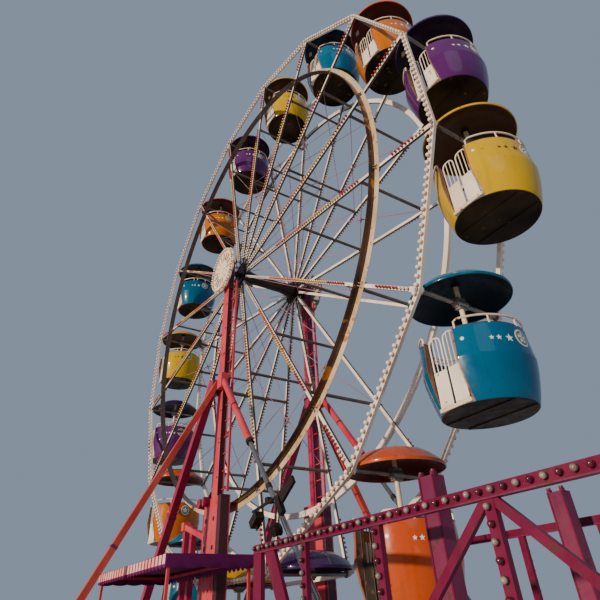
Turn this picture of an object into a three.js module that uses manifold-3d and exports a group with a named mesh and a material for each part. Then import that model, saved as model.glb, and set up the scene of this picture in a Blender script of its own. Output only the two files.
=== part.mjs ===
// Portable park ferris wheel with sixteen round tubs, in millimetres, +Z up.
// The origin is on the ground under the wheel centre. +X lies in the wheel's plane, and the
// wheel's axle runs along Y, with the front of the ride, where people board, at -Y.

import * as THREE from 'three';
import { mergeVertices } from 'three/addons/utils/BufferGeometryUtils.js';
import Module from 'manifold-3d';

// Driving dimensions
const TUB_COUNT = 16;
const AXLE_CIRCLE = 8500;           // radius on which the tub axles lie
const CENTRE_HEIGHT = 11100;        // wheel centre above the ground
const REST_TURN = -10.39;           // degrees from +X to the first tub
const FRAME_Y = 1000;               // middle plane of each wheel frame
const SPOKE = { width: 75, depth: 60 };
const RIM = { width: 90, depth: 70 };
const FLANGE = { radius: 430, depth: 60 };
const RING = { drum: 6790, outer: 6945, plate: 16, depth: 175 };
const REAR_RING = { inner: 6800, outer: 6935, depth: 85 };
const TIE = { radius: 35, outerAt: 0.735, innerAt: 0.44 };
const AXLE = { journal: 85, seat: 125, drum: 250, end: 1470 };
const TUB_AXLE = 35;                // radius of each tub's cross shaft
const AXLE_SIDES = 6;
const TOWER_TOP = 11430;
const FOOT = { width: 900, top: 4470 };
// Distances from the wheel's middle plane: towers and their feet, front and rear
const FRONT_TOWER = { width: 360, inner: 1315, outer: 1490, footInner: 1260, footOuter: 1500 };
const REAR_TOWER = { width: 280, inner: 1370, outer: 1590, footInner: 1360, footOuter: 1620 };
const LADDER = { x: 500, rail: 50, top: 10500, rungs: 15 };
const BEAM = { y: 1335, width: 250, bottom: 150, top: 500, reach: 7500 };
const PAD = 600;
const COLLAR = { bottom: 7050, top: 7450, width: 470 };
const BRACE = { section: 200, y: 1590, footX: 5750, topX: 260, topZ: 7400 };
const STRUT = { footX: 5850, topX: 430, topZ: 7250, sleeve: 82, sleeveEnd: 5250, pipe: 52 };
const OUTRIGGER = { footY: 5420, topZ: 7350, width: 150, depth: 135 };
const CRADLE = { x: 6980, y: 1380, top: 3520, width: 270, depth: 200, ears: 40 };
const DISC = { radius: 770, back: 1600, front: 1660, points: 16 };
const FENCE = { lower: 1600, chord: 110, half: 35 };
const FRONT_FENCE = { y: -2300, top: 3050, start: 3760, posts: [5260, 6870, 8550, 10070], arms: [3890, 6870] };
const REAR_FENCE = { y: 2000, top: 3200, start: 4400, posts: [5650, 7130, 8600, 10070], arms: [5560, 7130] };
const CORNER = { left: 3760, right: 4020, braceTop: 4230, braceFoot: 5000, brace: 260 };
const DECK = { x: 2700, front: 3300, back: 985, top: 620, bottom: 500.3 };
const AWNING = { x: 2350, front: 3300, back: 1580, top: 3070, valance: 220 };
const SEAT_GAP = 0.3;

// Tub, measured from its axle
const SHELL = { rimZ: -825, rimR: 865, creaseZ: -1320, creaseR: 900, floorZ: -1985, floorR: 745 };
const WALL = 25;
const FLOOR = 40;
const DOOR = { half: 300, y: 735, thick: 30 };
const SILL = { half: 312, front: 756, back: 650 };
const LEAF = { panelTop: -1370, top: -790, knuckle: 14 };
const CANOPY = { radius: 920, rimZ: 50, skin: 20, lip: 50 };
const CANOPY_RISE = [[1, 50], [0.67, 285], [0.34, 356], [0, 380]];
const POLE = 45;
const BENCH = { inner: 450, outer: 712, top: -1500, reach: 50 };
const SIDES = 16;

const degrees = Math.PI / 180;
const wasm = await Module();
wasm.setup();

// Solid handling: three.js shapes are joined and cut as closed meshes.
function solid(geometry) {
  const bare = geometry.clone();
  bare.deleteAttribute('normal');
  bare.deleteAttribute('uv');
  const merged = mergeVertices(bare, 1e-3);
  return new wasm.Manifold(new wasm.Mesh({
    numProp: 3,
    vertProperties: new Float32Array(merged.attributes.position.array),
    triVerts: new Uint32Array(merged.index.array),
  }));
}

function join(...geometries) {
  let whole = solid(geometries[0]);
  for (const piece of geometries.slice(1)) whole = whole.add(solid(piece));
  return toGeometry(whole);
}

function cut(geometry, ...tools) {
  let whole = solid(geometry);
  for (const tool of tools) whole = whole.subtract(solid(tool));
  return toGeometry(whole);
}

function toGeometry(manifold) {
  const mesh = manifold.getMesh();
  const geometry = new THREE.BufferGeometry();
  const count = mesh.vertProperties.length / mesh.numProp;
  const positions = new Float32Array(count * 3);
  for (let i = 0; i < count; i += 1) {
    for (let k = 0; k < 3; k += 1) positions[3 * i + k] = mesh.vertProperties[mesh.numProp * i + k];
  }
  geometry.setAttribute('position', new THREE.BufferAttribute(positions, 3));
  geometry.setIndex(Array.from(mesh.triVerts));
  const flat = geometry.toNonIndexed();
  flat.computeVertexNormals();
  return flat;
}

// Basic shapes, all placed by their lowest and highest values
function block(x0, x1, y0, y1, z0, z1) {
  const shape = new THREE.BoxGeometry(x1 - x0, y1 - y0, z1 - z0);
  return shape.translate((x0 + x1) / 2, (y0 + y1) / 2, (z0 + z1) / 2);
}

// A bar of rectangular section from one point to another. "side" is the direction in which
// the section's first size is measured.
function bar(from, to, width, depth, side) {
  const along = new THREE.Vector3().subVectors(to, from);
  const length = along.length();
  along.normalize();
  const across = side.clone().addScaledVector(along, -side.dot(along)).normalize();
  const third = new THREE.Vector3().crossVectors(along, across);
  const shape = new THREE.BoxGeometry(width, depth, length);
  shape.applyMatrix4(new THREE.Matrix4().makeBasis(across, third, along));
  const middle = new THREE.Vector3().addVectors(from, to).multiplyScalar(0.5);
  return shape.translate(middle.x, middle.y, middle.z);
}

function rod(from, to, radius, sides) {
  const along = new THREE.Vector3().subVectors(to, from);
  const shape = new THREE.CylinderGeometry(radius, radius, along.length(), sides);
  shape.applyQuaternion(new THREE.Quaternion().setFromUnitVectors(
    new THREE.Vector3(0, 1, 0), along.clone().normalize()));
  const middle = new THREE.Vector3().addVectors(from, to).multiplyScalar(0.5);
  return shape.translate(middle.x, middle.y, middle.z);
}

// The tool that cuts a bearing's bore along Y. Its flats stand just clear of a turning shaft.
function bearingBore(shaft, sides, from, to) {
  const radius = (shaft + SEAT_GAP) / Math.cos(Math.PI / sides);
  const tool = new THREE.CylinderGeometry(radius, radius, to - from, sides);
  return tool.rotateY(Math.PI / sides).translate(0, (from + to) / 2, 0);
}

// A profile of (radius, height) points turned about Z, or about Y for the wheel's own rings
function turned(profile, sides, aboutY = false) {
  const points = profile.map(([r, h]) => new THREE.Vector2(r, h));
  const shape = new THREE.LatheGeometry(points, sides);
  if (!aboutY) shape.rotateX(Math.PI / 2);
  return outward(shape.toNonIndexed());
}

// Turns every face round when the closed shape has come out inside out.
function outward(geometry) {
  const p = geometry.attributes.position.array;
  let volume = 0;
  for (let i = 0; i < p.length; i += 9) {
    volume += p[i] * (p[i + 4] * p[i + 8] - p[i + 5] * p[i + 7])
      + p[i + 1] * (p[i + 5] * p[i + 6] - p[i + 3] * p[i + 8])
      + p[i + 2] * (p[i + 3] * p[i + 7] - p[i + 4] * p[i + 6]);
  }
  if (volume < 0) {
    for (let i = 0; i < p.length; i += 9) {
      for (let k = 0; k < 3; k += 1) {
        const held = p[i + 3 + k];
        p[i + 3 + k] = p[i + 6 + k];
        p[i + 6 + k] = held;
      }
    }
  }
  geometry.computeVertexNormals();
  return geometry;
}

const v = (x, y, z) => new THREE.Vector3(x, y, z);
const X = v(1, 0, 0);
const Y = v(0, 1, 0);

function tubAngle(index) {
  return (REST_TURN + index * 360 / TUB_COUNT) * degrees;
}

function onWheel(radius, angle, y) {
  return v(radius * Math.cos(angle), y, CENTRE_HEIGHT + radius * Math.sin(angle));
}

// Finishes
const finish = (colour, roughness, metalness) =>
  new THREE.MeshStandardMaterial({ color: colour, roughness, metalness });
const WHITE = finish(0xe9e4da, 0.45, 0.1);
const BRONZE = finish(0xb08a5c, 0.45, 0.6);
const DARK = finish(0x2e2622, 0.6, 0.5);
const PINK = finish(0xb4465c, 0.45, 0.1);
const MAGENTA = finish(0x8e2348, 0.45, 0.1);
const GALVANISED = finish(0xa7a6a2, 0.5, 0.7);
const CREAM = finish(0xe8dcb8, 0.5, 0);
const AWNING_CLOTH = finish(0x4a1440, 0.8, 0);
const DECK_PLATE = finish(0x8d8f90, 0.6, 0.6);
const TUB_COLOURS = [0xf2b90c, 0x5a2a78, 0xe8691c, 0x1580a8]
  .map((colour) => finish(colour, 0.25, 0.05));

const group = new THREE.Group();
function place(name, geometry, material) {
  const mesh = new THREE.Mesh(geometry, material);
  mesh.name = name;
  group.add(mesh);
}

// Wheel: axle, two frames of spokes, two rims, two round drive rings
function wheelAxle() {
  const inner = FRAME_Y - FLANGE.depth / 2 - SEAT_GAP;
  const outer = FRAME_Y + FLANGE.depth / 2 + SEAT_GAP;
  const half = [[0, AXLE.end], [AXLE.journal, AXLE.end], [AXLE.journal, outer],
    [AXLE.seat, outer - 20], [AXLE.seat, inner], [AXLE.drum, inner], [AXLE.drum * 0.7, inner - 420]];
  const lower = half.map(([r, y]) => [r, -y]);
  const shape = turned([...lower, ...half.slice().reverse()], SIDES, true);
  return shape.translate(0, 0, CENTRE_HEIGHT);
}

function spokeFrame(side) {
  const y = side * FRAME_Y;
  const edge = FLANGE.depth / 2;
  const flange = turned([[AXLE.seat + SEAT_GAP, y - edge], [FLANGE.radius, y - edge],
    [FLANGE.radius, y + edge], [AXLE.seat + SEAT_GAP, y + edge],
    [AXLE.seat + SEAT_GAP, y - edge]], SIDES, true).translate(0, 0, CENTRE_HEIGHT);
  const pieces = [flange];
  const slope = Math.PI / TUB_COUNT;
  const reach = AXLE_CIRCLE - RIM.width / 2 / Math.cos(slope) - SPOKE.width / 2 * Math.tan(slope)
    - SEAT_GAP;
  for (let i = 0; i < TUB_COUNT; i += 1) {
    const angle = tubAngle(i);
    const tangent = v(-Math.sin(angle), 0, Math.cos(angle));
    pieces.push(bar(onWheel(FLANGE.radius - 120, angle, y), onWheel(reach, angle, y),
      SPOKE.width, SPOKE.depth, tangent));
  }
  return pieces;
}

// Cross tubes that tie the front spokes to the rear spokes, welded to the rear ones
function crossTies() {
  const pieces = [];
  const inside = FRAME_Y - SPOKE.depth / 2;
  for (let i = 0; i < TUB_COUNT; i += 1) {
    for (const share of [TIE.outerAt, TIE.innerAt]) {
      const radius = share * AXLE_CIRCLE;
      pieces.push(rod(onWheel(radius, tubAngle(i), -inside + SEAT_GAP),
        onWheel(radius, tubAngle(i), inside + 5), TIE.radius, 4));
    }
  }
  return pieces;
}

function rim(side) {
  const corners = (radius) => Array.from({ length: TUB_COUNT }, (_, i) =>
    new THREE.Vector2(radius * Math.cos(tubAngle(i)), radius * Math.sin(tubAngle(i))));
  const spread = RIM.width / 2 / Math.cos(Math.PI / TUB_COUNT);
  const outline = new THREE.Shape(corners(AXLE_CIRCLE + spread));
  outline.holes.push(new THREE.Path(corners(AXLE_CIRCLE - spread)));
  const shape = new THREE.ExtrudeGeometry(outline, { depth: RIM.depth, bevelEnabled: false });
  shape.rotateX(Math.PI / 2);
  return shape.translate(0, side * FRAME_Y + RIM.depth / 2, CENTRE_HEIGHT);
}

function tubAxles() {
  const start = -FRAME_Y;
  const end = FRAME_Y - RIM.depth / 2 - SEAT_GAP;
  return Array.from({ length: TUB_COUNT }, (_, i) =>
    rod(onWheel(AXLE_CIRCLE, tubAngle(i), start), onWheel(AXLE_CIRCLE, tubAngle(i), end), TUB_AXLE, AXLE_SIDES));
}

// The drive ring is a rolled angle: a plate flat on the front spokes, and a deep drum standing
// forward from its inner edge
function driveRing() {
  const back = FRAME_Y + SPOKE.depth / 2 + SEAT_GAP;
  const { drum, outer, plate, depth } = RING;
  const profile = [[drum, back], [outer, back], [outer, back + plate], [drum + plate, back + plate],
    [drum + plate, back + depth], [drum, back + depth], [drum, back]]
    .map(([r, y]) => [r, -y]);
  return turned(profile, 48, true).translate(0, 0, CENTRE_HEIGHT);
}

// The rear frame's ring is a plain box section
function stiffeningRing() {
  const back = FRAME_Y + SPOKE.depth / 2 + SEAT_GAP;
  const { inner, outer, depth } = REAR_RING;
  return turned([[inner, back], [outer, back], [outer, back + depth], [inner, back + depth], [inner, back]],
    48, true).translate(0, 0, CENTRE_HEIGHT);
}

place('wheel_axle', wheelAxle(), DARK);
place('front_spokes', join(...spokeFrame(-1)), WHITE);
place('rear_spokes', join(...spokeFrame(1), ...crossTies()), WHITE);
place('front_rim', join(rim(-1), ...tubAxles()), WHITE);
place('rear_rim', rim(1), WHITE);
place('front_drive_ring', driveRing(), BRONZE);
place('rear_drive_ring', stiffeningRing(), WHITE);

// Tubs
function upright(points, depth) {
  const shape = new THREE.ExtrudeGeometry(new THREE.Shape(points), { depth, bevelEnabled: false });
  return shape.rotateX(Math.PI / 2).translate(0, depth / 2, 0);
}

// One leaf of the gate, standing in its closed place: a solid lower panel and an arched top
// of bars. side -1 is the left leaf.
function gateLeaf(side, bottom) {
  const half = DOOR.half / 2 - 14;
  const spring = LEAF.top - half;
  const corner = half * 0.35;
  const sheet = upright([new THREE.Vector2(-half, bottom), new THREE.Vector2(half, bottom),
    new THREE.Vector2(half, spring + 60), new THREE.Vector2(corner, LEAF.top),
    new THREE.Vector2(-corner, LEAF.top), new THREE.Vector2(-half, spring + 60)], DOOR.thick);
  const rail = 26;
  const window = block(-half + rail, half - rail, -DOOR.thick, DOOR.thick, LEAF.panelTop, spring + 50);
  return cut(sheet, window).translate(side * (DOOR.half / 2 - 7), -DOOR.y, 0);
}

function hoop(side) {
  const rise = 140;
  const start = -64;
  const finishAt = 74;
  const stations = 4;
  const spot = (turn, z) => {
    const radius = SHELL.rimR - WALL / 2;
    const angle = (side > 0 ? turn : 180 - turn) * degrees;
    return v(radius * Math.cos(angle), radius * Math.sin(angle), z);
  };
  const low = SHELL.rimZ - 20;
  const high = SHELL.rimZ + rise;
  const path = [spot(start, low), spot(start + 1, high - 20)];
  for (let k = 1; k < stations; k += 1) path.push(spot(start + (finishAt - start) * k / stations, high));
  path.push(spot(finishAt - 1, high - 20), spot(finishAt, low));
  const section = new THREE.Shape(Array.from({ length: 4 }, (_, k) =>
    new THREE.Vector2(18 * Math.cos(k * 90 * degrees), 18 * Math.sin(k * 90 * degrees))));
  const smooth = new THREE.CatmullRomCurve3(path, false, 'centripetal');
  const tube = new THREE.ExtrudeGeometry(section, { steps: 7, extrudePath: smooth, bevelEnabled: false });
  return outward(tube);
}

// A moulded seat on each side of the doorway, solid down to the floor
function bench(side) {
  const outline = new THREE.Shape();
  const reach = BENCH.reach * degrees;
  outline.absarc(0, 0, BENCH.outer, -reach, reach, false);
  outline.absarc(0, 0, BENCH.inner, reach, -reach, true);
  const low = SHELL.floorZ + FLOOR - 5;
  const shape = new THREE.ExtrudeGeometry(outline,
    { depth: BENCH.top - low, bevelEnabled: false, curveSegments: 2 });
  shape.translate(0, 0, low);
  if (side < 0) shape.rotateZ(Math.PI);
  return shape;
}

// The canopy's profile from rim to crown, in by "inset" and down by "drop"
function hoodProfile(inset, drop) {
  return CANOPY_RISE.map(([share, rise]) =>
    [(CANOPY.radius - inset) * share, CANOPY.rimZ + rise - drop]);
}

function tubBody(openGate) {
  const s = SHELL;
  const bowl = turned([[0, s.floorZ], [s.floorR, s.floorZ], [s.creaseR, s.creaseZ], [s.rimR, s.rimZ],
    [s.rimR - WALL, s.rimZ], [s.creaseR - WALL, s.creaseZ], [s.floorR - WALL + 8, s.floorZ + FLOOR],
    [0, s.floorZ + FLOOR]], SIDES);
  const doorway = block(-DOOR.half, DOOR.half, -1000, -450, s.floorZ + FLOOR, 0);
  const shell = cut(bowl, doorway);
  const [[crownR, crownZ], [nextR, nextZ]] = hoodProfile(CANOPY.skin, CANOPY.skin).reverse();
  const poleTop = crownZ - POLE * (crownZ - nextZ) / (nextR - crownR) - SEAT_GAP;
  const pole = rod(v(0, 0, s.floorZ + FLOOR / 2), v(0, 0, poleTop), POLE, 6);
  const housing = rod(v(0, -130, 0), v(0, 130, 0), 85, 6);
  const sill = block(-SILL.half, SILL.half, -SILL.front, -SILL.back, s.floorZ + 4, s.floorZ + FLOOR);
  const pieces = [shell, sill, pole, housing, bench(1), bench(-1), hoop(1), hoop(-1)];
  if (!openGate) pieces.push(gateLeaf(-1, s.floorZ + 10), gateLeaf(1, s.floorZ + 10));
  return cut(join(...pieces), bearingBore(TUB_AXLE, AXLE_SIDES, -150, 150));
}

function canopy() {
  const { radius, rimZ, skin, lip } = CANOPY;
  const inside = hoodProfile(skin, skin);
  return turned([...inside.reverse(), [radius - skin, rimZ], [radius, rimZ], [radius, rimZ + lip],
    ...hoodProfile(0, 0).slice(1)], SIDES);
}

const HINGED_TUB = 13;
const closedBody = tubBody(false);
const openBody = tubBody(true);
const hood = canopy();
for (let i = 0; i < TUB_COUNT; i += 1) {
  const centre = onWheel(AXLE_CIRCLE, tubAngle(i), 0);
  const label = `tub_${String(i + 1).padStart(2, '0')}`;
  const colour = TUB_COLOURS[i % 4];
  const body = (i === HINGED_TUB ? openBody : closedBody).clone();
  place(`${label}_body`, body.translate(centre.x, 0, centre.z), colour);
  place(`${label}_canopy`, hood.clone().translate(centre.x, 0, centre.z), colour);
  if (i === HINGED_TUB) {
    for (const [name, side] of [['left', -1], ['right', 1]]) {
      const floor = SHELL.floorZ + FLOOR;
      const hinge = side * (DOOR.half - 8 - LEAF.knuckle);
      const knuckle = rod(v(hinge, -DOOR.y, floor + SEAT_GAP), v(hinge, -DOOR.y, LEAF.top - 140),
        LEAF.knuckle, 8);
      const leaf = join(gateLeaf(side, floor + 12), knuckle);
      place(`${label}_gate_${name}`, leaf.translate(centre.x, 0, centre.z), WHITE);
    }
  }
}

// Base: long beams, cross members and ground pads, with the two upright cradle posts that
// carry the folded towers on the road welded near the +X end
function baseFrame() {
  const pieces = [];
  const { y, width, bottom, top, reach } = BEAM;
  const overlap = 20;
  for (const side of [-1, 1]) {
    pieces.push(block(-reach, reach, side * y - width / 2, side * y + width / 2, bottom, top));
    for (const x of [-7200, -3600, 0, 3600, 7200]) {
      pieces.push(block(x - PAD / 2, x + PAD / 2, side * y - PAD / 2, side * y + PAD / 2, 0, bottom + overlap));
    }
    for (const x of [-BRACE.footX, STRUT.footX]) {
      const inner = y + width / 2 - overlap;
      const span = [side * inner, side * (BRACE.y + 160)].sort((a, b) => a - b);
      pieces.push(block(x - 200, x + 200, ...span, bottom + 50, top));
    }
  }
  for (const x of [-7200, -3600, 0, 3600, 7200]) {
    pieces.push(block(x - 110, x + 110, -y, y, bottom, bottom + 180));
  }
  pieces.push(block(-PAD / 2, PAD / 2, -PAD / 2, PAD / 2, 0, bottom + overlap));
  for (const side of [-1, 1]) {
    const { x } = CRADLE;
    const span = [side * CRADLE.y - CRADLE.depth / 2, side * CRADLE.y + CRADLE.depth / 2];
    pieces.push(block(x - CRADLE.width / 2, x + CRADLE.width / 2, ...span, top - overlap, CRADLE.top));
    for (const end of [-1, 1]) {
      const ear = x + end * (CRADLE.width / 2 - 25);
      pieces.push(block(ear - 20, ear + 20, span[0], span[0] + 90, CRADLE.top - 50, CRADLE.top + CRADLE.ears));
    }
  }
  return join(...pieces);
}

function sized(side) {
  return side < 0 ? FRONT_TOWER : REAR_TOWER;
}

function across(side, near, far) {
  return [side * near, side * far].sort((a, b) => a - b);
}

// A box column with its collar, and a climbing ladder on the +X side: rungs welded to the column
// and to one outer rail
function tower(side) {
  const { width, inner, outer } = sized(side);
  const half = width / 2;
  const span = across(side, inner, outer);
  const wide = COLLAR.width / 2;
  const pieces = [block(-half, half, ...span, FOOT.top + SEAT_GAP, TOWER_TOP),
    block(-wide, wide, ...span, COLLAR.bottom, COLLAR.top)];
  const railSpan = across(side, inner + 30, inner + 30 + LADDER.rail);
  const railY = (railSpan[0] + railSpan[1]) / 2;
  const { x, rail, top, rungs } = LADDER;
  pieces.push(block(x - rail / 2, x + rail / 2, ...railSpan, FOOT.top + 60, top));
  for (let k = 0; k < rungs; k += 1) {
    const z = FOOT.top + 150 + k * (top - FOOT.top - 240) / (rungs - 1);
    pieces.push(rod(v(half - 20, railY, z), v(x, railY, z), 14, 4));
  }
  const bore = bearingBore(AXLE.journal, SIDES, ...across(side, 1000, 1800)).translate(0, 0, CENTRE_HEIGHT);
  return cut(join(...pieces), bore);
}

function towerFoot(side) {
  const half = FOOT.width / 2;
  const { footInner, footOuter } = sized(side);
  return block(-half, half, ...across(side, footInner, footOuter), BEAM.top + SEAT_GAP, FOOT.top);
}

// The space that the tower and its collar take up, kept clear by the legs that meet there
function towerSpace(side) {
  const wide = COLLAR.width / 2 + SEAT_GAP;
  return block(-wide, wide, ...across(side, 0, sized(side).outer + SEAT_GAP), 5000, 9000);
}

// A round sleeve with a thinner pipe that slides out of its lower end
function strut(top, foot) {
  const share = (top.z - STRUT.sleeveEnd) / (top.z - foot.z);
  const end = new THREE.Vector3().lerpVectors(top, foot, share);
  return join(rod(top, end, STRUT.sleeve, 12), rod(top, foot, STRUT.pipe, 12));
}

// Inclined legs in front of the tower, one to each end of the base: a box on the -X side and
// a sleeved pipe on the +X side
function brace(side, direction) {
  const y = side * BRACE.y;
  const { topX, topZ, footX } = direction > 0 ? STRUT : BRACE;
  const top = v(direction * topX, y, topZ);
  const foot = v(direction * footX, y, BEAM.top + 40);
  const leg = direction > 0 ? strut(top, foot)
    : bar(top, foot, BRACE.section, BRACE.section - 10, Y);
  const trimmed = cut(leg, block(-9000, 9000, -3000, 3000, -500, BEAM.top + SEAT_GAP));
  const half = BRACE.section / 2;
  const plate = block(direction * footX - 190, direction * footX + 190,
    y - half - 40, y + half + 10, BEAM.top + SEAT_GAP, BEAM.top + 40);
  const inner = OUTRIGGER.width / 2 + SEAT_GAP;
  const reach = topX + 70;
  const head = block(direction > 0 ? inner : -reach, direction > 0 ? reach : -inner,
    y - half, y + half, COLLAR.bottom, COLLAR.top);
  return cut(join(trimmed, plate, head), towerSpace(side));
}

// The leg square to the wheel, with its own pad on the ground
function outrigger(side) {
  const start = BRACE.y;
  const head = v(0, side * (start - 20), OUTRIGGER.topZ);
  const foot = v(0, side * OUTRIGGER.footY, 40);
  const leg = bar(head, foot, OUTRIGGER.width, OUTRIGGER.depth, X);
  const kept = cut(leg, block(-2000, 2000, -9000, 9000, -900, 0), towerSpace(side));
  const pad = block(-250, 250, side * OUTRIGGER.footY - 250, side * OUTRIGGER.footY + 250, 0, 60);
  return join(kept, pad);
}

// Round sign with a scalloped edge, on a stub in front of the tower's bearing
function signDisc(side) {
  const steps = 4 * DISC.points;
  const outline = new THREE.Shape(Array.from({ length: steps }, (_, k) => {
    const turn = k / steps * 2 * Math.PI;
    const radius = DISC.radius * (0.93 + 0.07 * Math.abs(Math.cos(turn * DISC.points / 2)));
    return new THREE.Vector2(radius * Math.cos(turn), radius * Math.sin(turn));
  }));
  const plate = new THREE.ExtrudeGeometry(outline, { depth: DISC.front - DISC.back, bevelEnabled: false });
  plate.rotateX(Math.PI / 2);
  plate.translate(0, side > 0 ? DISC.front : -DISC.back, CENTRE_HEIGHT);
  const span = across(side, sized(side).outer + SEAT_GAP, DISC.back + 20);
  return join(plate, block(-130, 130, ...span, CENTRE_HEIGHT - 130, CENTRE_HEIGHT + 130));
}

// A truss of box bars with the bulb-lit chord on top, tied to the base by two low arms. The
// front one has a broad corner post with a broad brace at its start.
function lightFence({ y, top, start, posts, arms }, corner) {
  const last = posts[posts.length - 1];
  const deep = FENCE.half;
  const low = corner ? start : posts[0];
  const pieces = [block(start, last + 60, y - deep, y + deep, top - FENCE.chord, top),
    block(low, last, y - deep + 5, y + deep - 5, FENCE.lower - 80, FENCE.lower)];
  for (const x of posts) {
    pieces.push(block(x - 60, x + 60, y - deep, y + deep, 20, top - 20));
    pieces.push(block(x - 160, x + 160, y - 160, y + 160, 0, 40));
  }
  const node = v(posts[2], y, top - 90);
  const braces = [[node, v(posts[1], y, FENCE.lower - 40), 90], [node, v(last, y, FENCE.lower - 40), 90]];
  if (corner) {
    pieces.push(block(CORNER.left, CORNER.right, y - deep, y + deep, 20, top - 20));
    braces.push([v(CORNER.braceTop, y, top - 60), v(CORNER.braceFoot, y, FENCE.lower - 40), CORNER.brace]);
  }
  for (const [from, to, width] of braces) pieces.push(bar(from, to, 2 * deep - 14, width, Y));
  const beamFace = Math.sign(y) * (BEAM.y + BEAM.width / 2 + SEAT_GAP);
  for (const x of arms) {
    pieces.push(block(x - 40, x + 40, Math.min(y, beamFace), Math.max(y, beamFace), 220, 340));
  }
  return join(...pieces);
}

function loadingPlatform() {
  const notch = FOOT.width / 2 + 40;
  const outline = new THREE.Shape();
  outline.moveTo(-DECK.x, -DECK.front);
  outline.lineTo(DECK.x, -DECK.front);
  outline.lineTo(DECK.x, -DECK.back);
  outline.lineTo(notch, -DECK.back);
  outline.lineTo(notch, -FRONT_TOWER.footOuter - 40);
  outline.lineTo(-notch, -FRONT_TOWER.footOuter - 40);
  outline.lineTo(-notch, -DECK.back);
  outline.lineTo(-DECK.x, -DECK.back);
  const deck = new THREE.ExtrudeGeometry(outline, { depth: DECK.top - DECK.bottom, bevelEnabled: false });
  deck.translate(0, 0, DECK.bottom);
  const pieces = [deck];
  for (const x of [-2500, -900, 900, 2500]) {
    pieces.push(block(x - 60, x + 60, -DECK.front + 60, -DECK.front + 180, 0, DECK.bottom + 20));
  }
  pieces.push(block(-2300, -1000, -DECK.front, -DECK.front + 80, 0, DECK.bottom + 20));
  const treads = 3;
  for (let k = 0; k < treads; k += 1) {
    const height = DECK.top * (treads - k) / (treads + 1);
    pieces.push(block(-2300, -1000, -DECK.front - 280 * (k + 1), -DECK.front - 280 * k + 30, 0, height));
  }
  return join(...pieces);
}

function awningFrame() {
  const pieces = [];
  const { x, front, back, top } = AWNING;
  const tube = 50;
  const roof = top - 60;
  const ys = [-front + 80, -back - 80];
  for (const px of [-x + 80, x - 80]) {
    for (const py of ys) {
      pieces.push(block(px - tube / 2, px + tube / 2, py - tube / 2, py + tube / 2,
        DECK.top + SEAT_GAP, roof));
    }
    pieces.push(block(px - tube / 2, px + tube / 2, ys[0], ys[1], roof - tube, roof));
  }
  for (const py of ys) {
    pieces.push(block(-x + 80, x - 80, py - tube / 2, py + tube / 2, roof - tube, roof));
  }
  return join(...pieces);
}

function awningCover() {
  const { x, front, back, top, valance } = AWNING;
  const cloth = 12;
  const outer = block(-x, x, -front, -back, top - valance, top);
  const hollow = block(-x + cloth, x - cloth, -front + cloth, -back - cloth,
    top - valance - 50, top - 60 + SEAT_GAP);
  return cut(outer, hollow);
}

place('base_frame', baseFrame(), MAGENTA);
for (const [name, side] of [['front', -1], ['rear', 1]]) {
  place(`${name}_tower`, tower(side), PINK);
  place(`${name}_tower_foot`, towerFoot(side), PINK);
  place(`${name}_brace_left`, brace(side, -1), MAGENTA);
  place(`${name}_brace_right`, brace(side, 1), MAGENTA);
  place(`${name}_outrigger`, outrigger(side), MAGENTA);
  place(`${name}_sign_disc`, signDisc(side), CREAM);
}
place('front_light_fence', lightFence(FRONT_FENCE, true), MAGENTA);
place('rear_light_fence', lightFence(REAR_FENCE, false), MAGENTA);
place('loading_platform', loadingPlatform(), DECK_PLATE);
place('awning_frame', awningFrame(), GALVANISED);
place('awning_cover', awningCover(), AWNING_CLOTH);

export default group;
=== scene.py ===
import math

import bmesh
import bpy
import numpy as np
from mathutils import Matrix


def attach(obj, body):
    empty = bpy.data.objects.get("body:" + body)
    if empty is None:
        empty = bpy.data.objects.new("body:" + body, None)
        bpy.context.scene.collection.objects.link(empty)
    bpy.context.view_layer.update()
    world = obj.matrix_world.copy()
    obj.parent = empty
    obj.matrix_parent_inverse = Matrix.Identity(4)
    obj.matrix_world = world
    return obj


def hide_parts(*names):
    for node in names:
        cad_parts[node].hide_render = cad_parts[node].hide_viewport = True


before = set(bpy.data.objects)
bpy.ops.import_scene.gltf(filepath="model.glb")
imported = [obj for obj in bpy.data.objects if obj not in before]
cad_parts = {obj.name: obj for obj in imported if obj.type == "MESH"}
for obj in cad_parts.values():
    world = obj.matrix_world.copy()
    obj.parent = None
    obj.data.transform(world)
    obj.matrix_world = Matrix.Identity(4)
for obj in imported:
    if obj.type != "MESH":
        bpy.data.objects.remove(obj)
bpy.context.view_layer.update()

# Camera and studio. A wide lens on the ground in front of the wheel's right side looks up at it.
# The light is a low warm sun from the front, with a pale even sky all round.
scene = bpy.context.scene
camera_lens = bpy.data.cameras.new("camera")
camera_lens.lens = 29.0
camera_lens.sensor_width = 36.0
camera_lens.shift_y = -0.066
camera_lens.clip_end = 500.0
camera = bpy.data.objects.new("camera", camera_lens)
scene.collection.objects.link(camera)
scene.camera = camera
eye = (11.8696, -6.5229, 2.1042)
yaw, pitch, roll = 0.987, 0.6331, -0.0479
ahead = np.array([-math.sin(yaw) * math.cos(pitch), math.cos(yaw) * math.cos(pitch), math.sin(pitch)])
level = np.array([math.cos(yaw), math.sin(yaw), 0.0])
upward = np.cross(level, ahead)
right = math.cos(roll) * level + math.sin(roll) * upward
above = -math.sin(roll) * level + math.cos(roll) * upward
view = np.eye(4)
view[:3, 0], view[:3, 1], view[:3, 2] = right, above, -ahead
view[:3, 3] = eye
camera.matrix_world = Matrix(view.tolist())


def dials(node, values):
    """Sets a node's inputs by their names."""
    for word, value in values.items():
        node.inputs[word].default_value = value


sky = bpy.data.worlds.new("studio")
scene.world = sky
sky.use_nodes = True
dials(sky.node_tree.nodes["Background"], {"Color": (0.62, 0.76, 1.0, 1.0), "Strength": 0.38})


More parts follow.
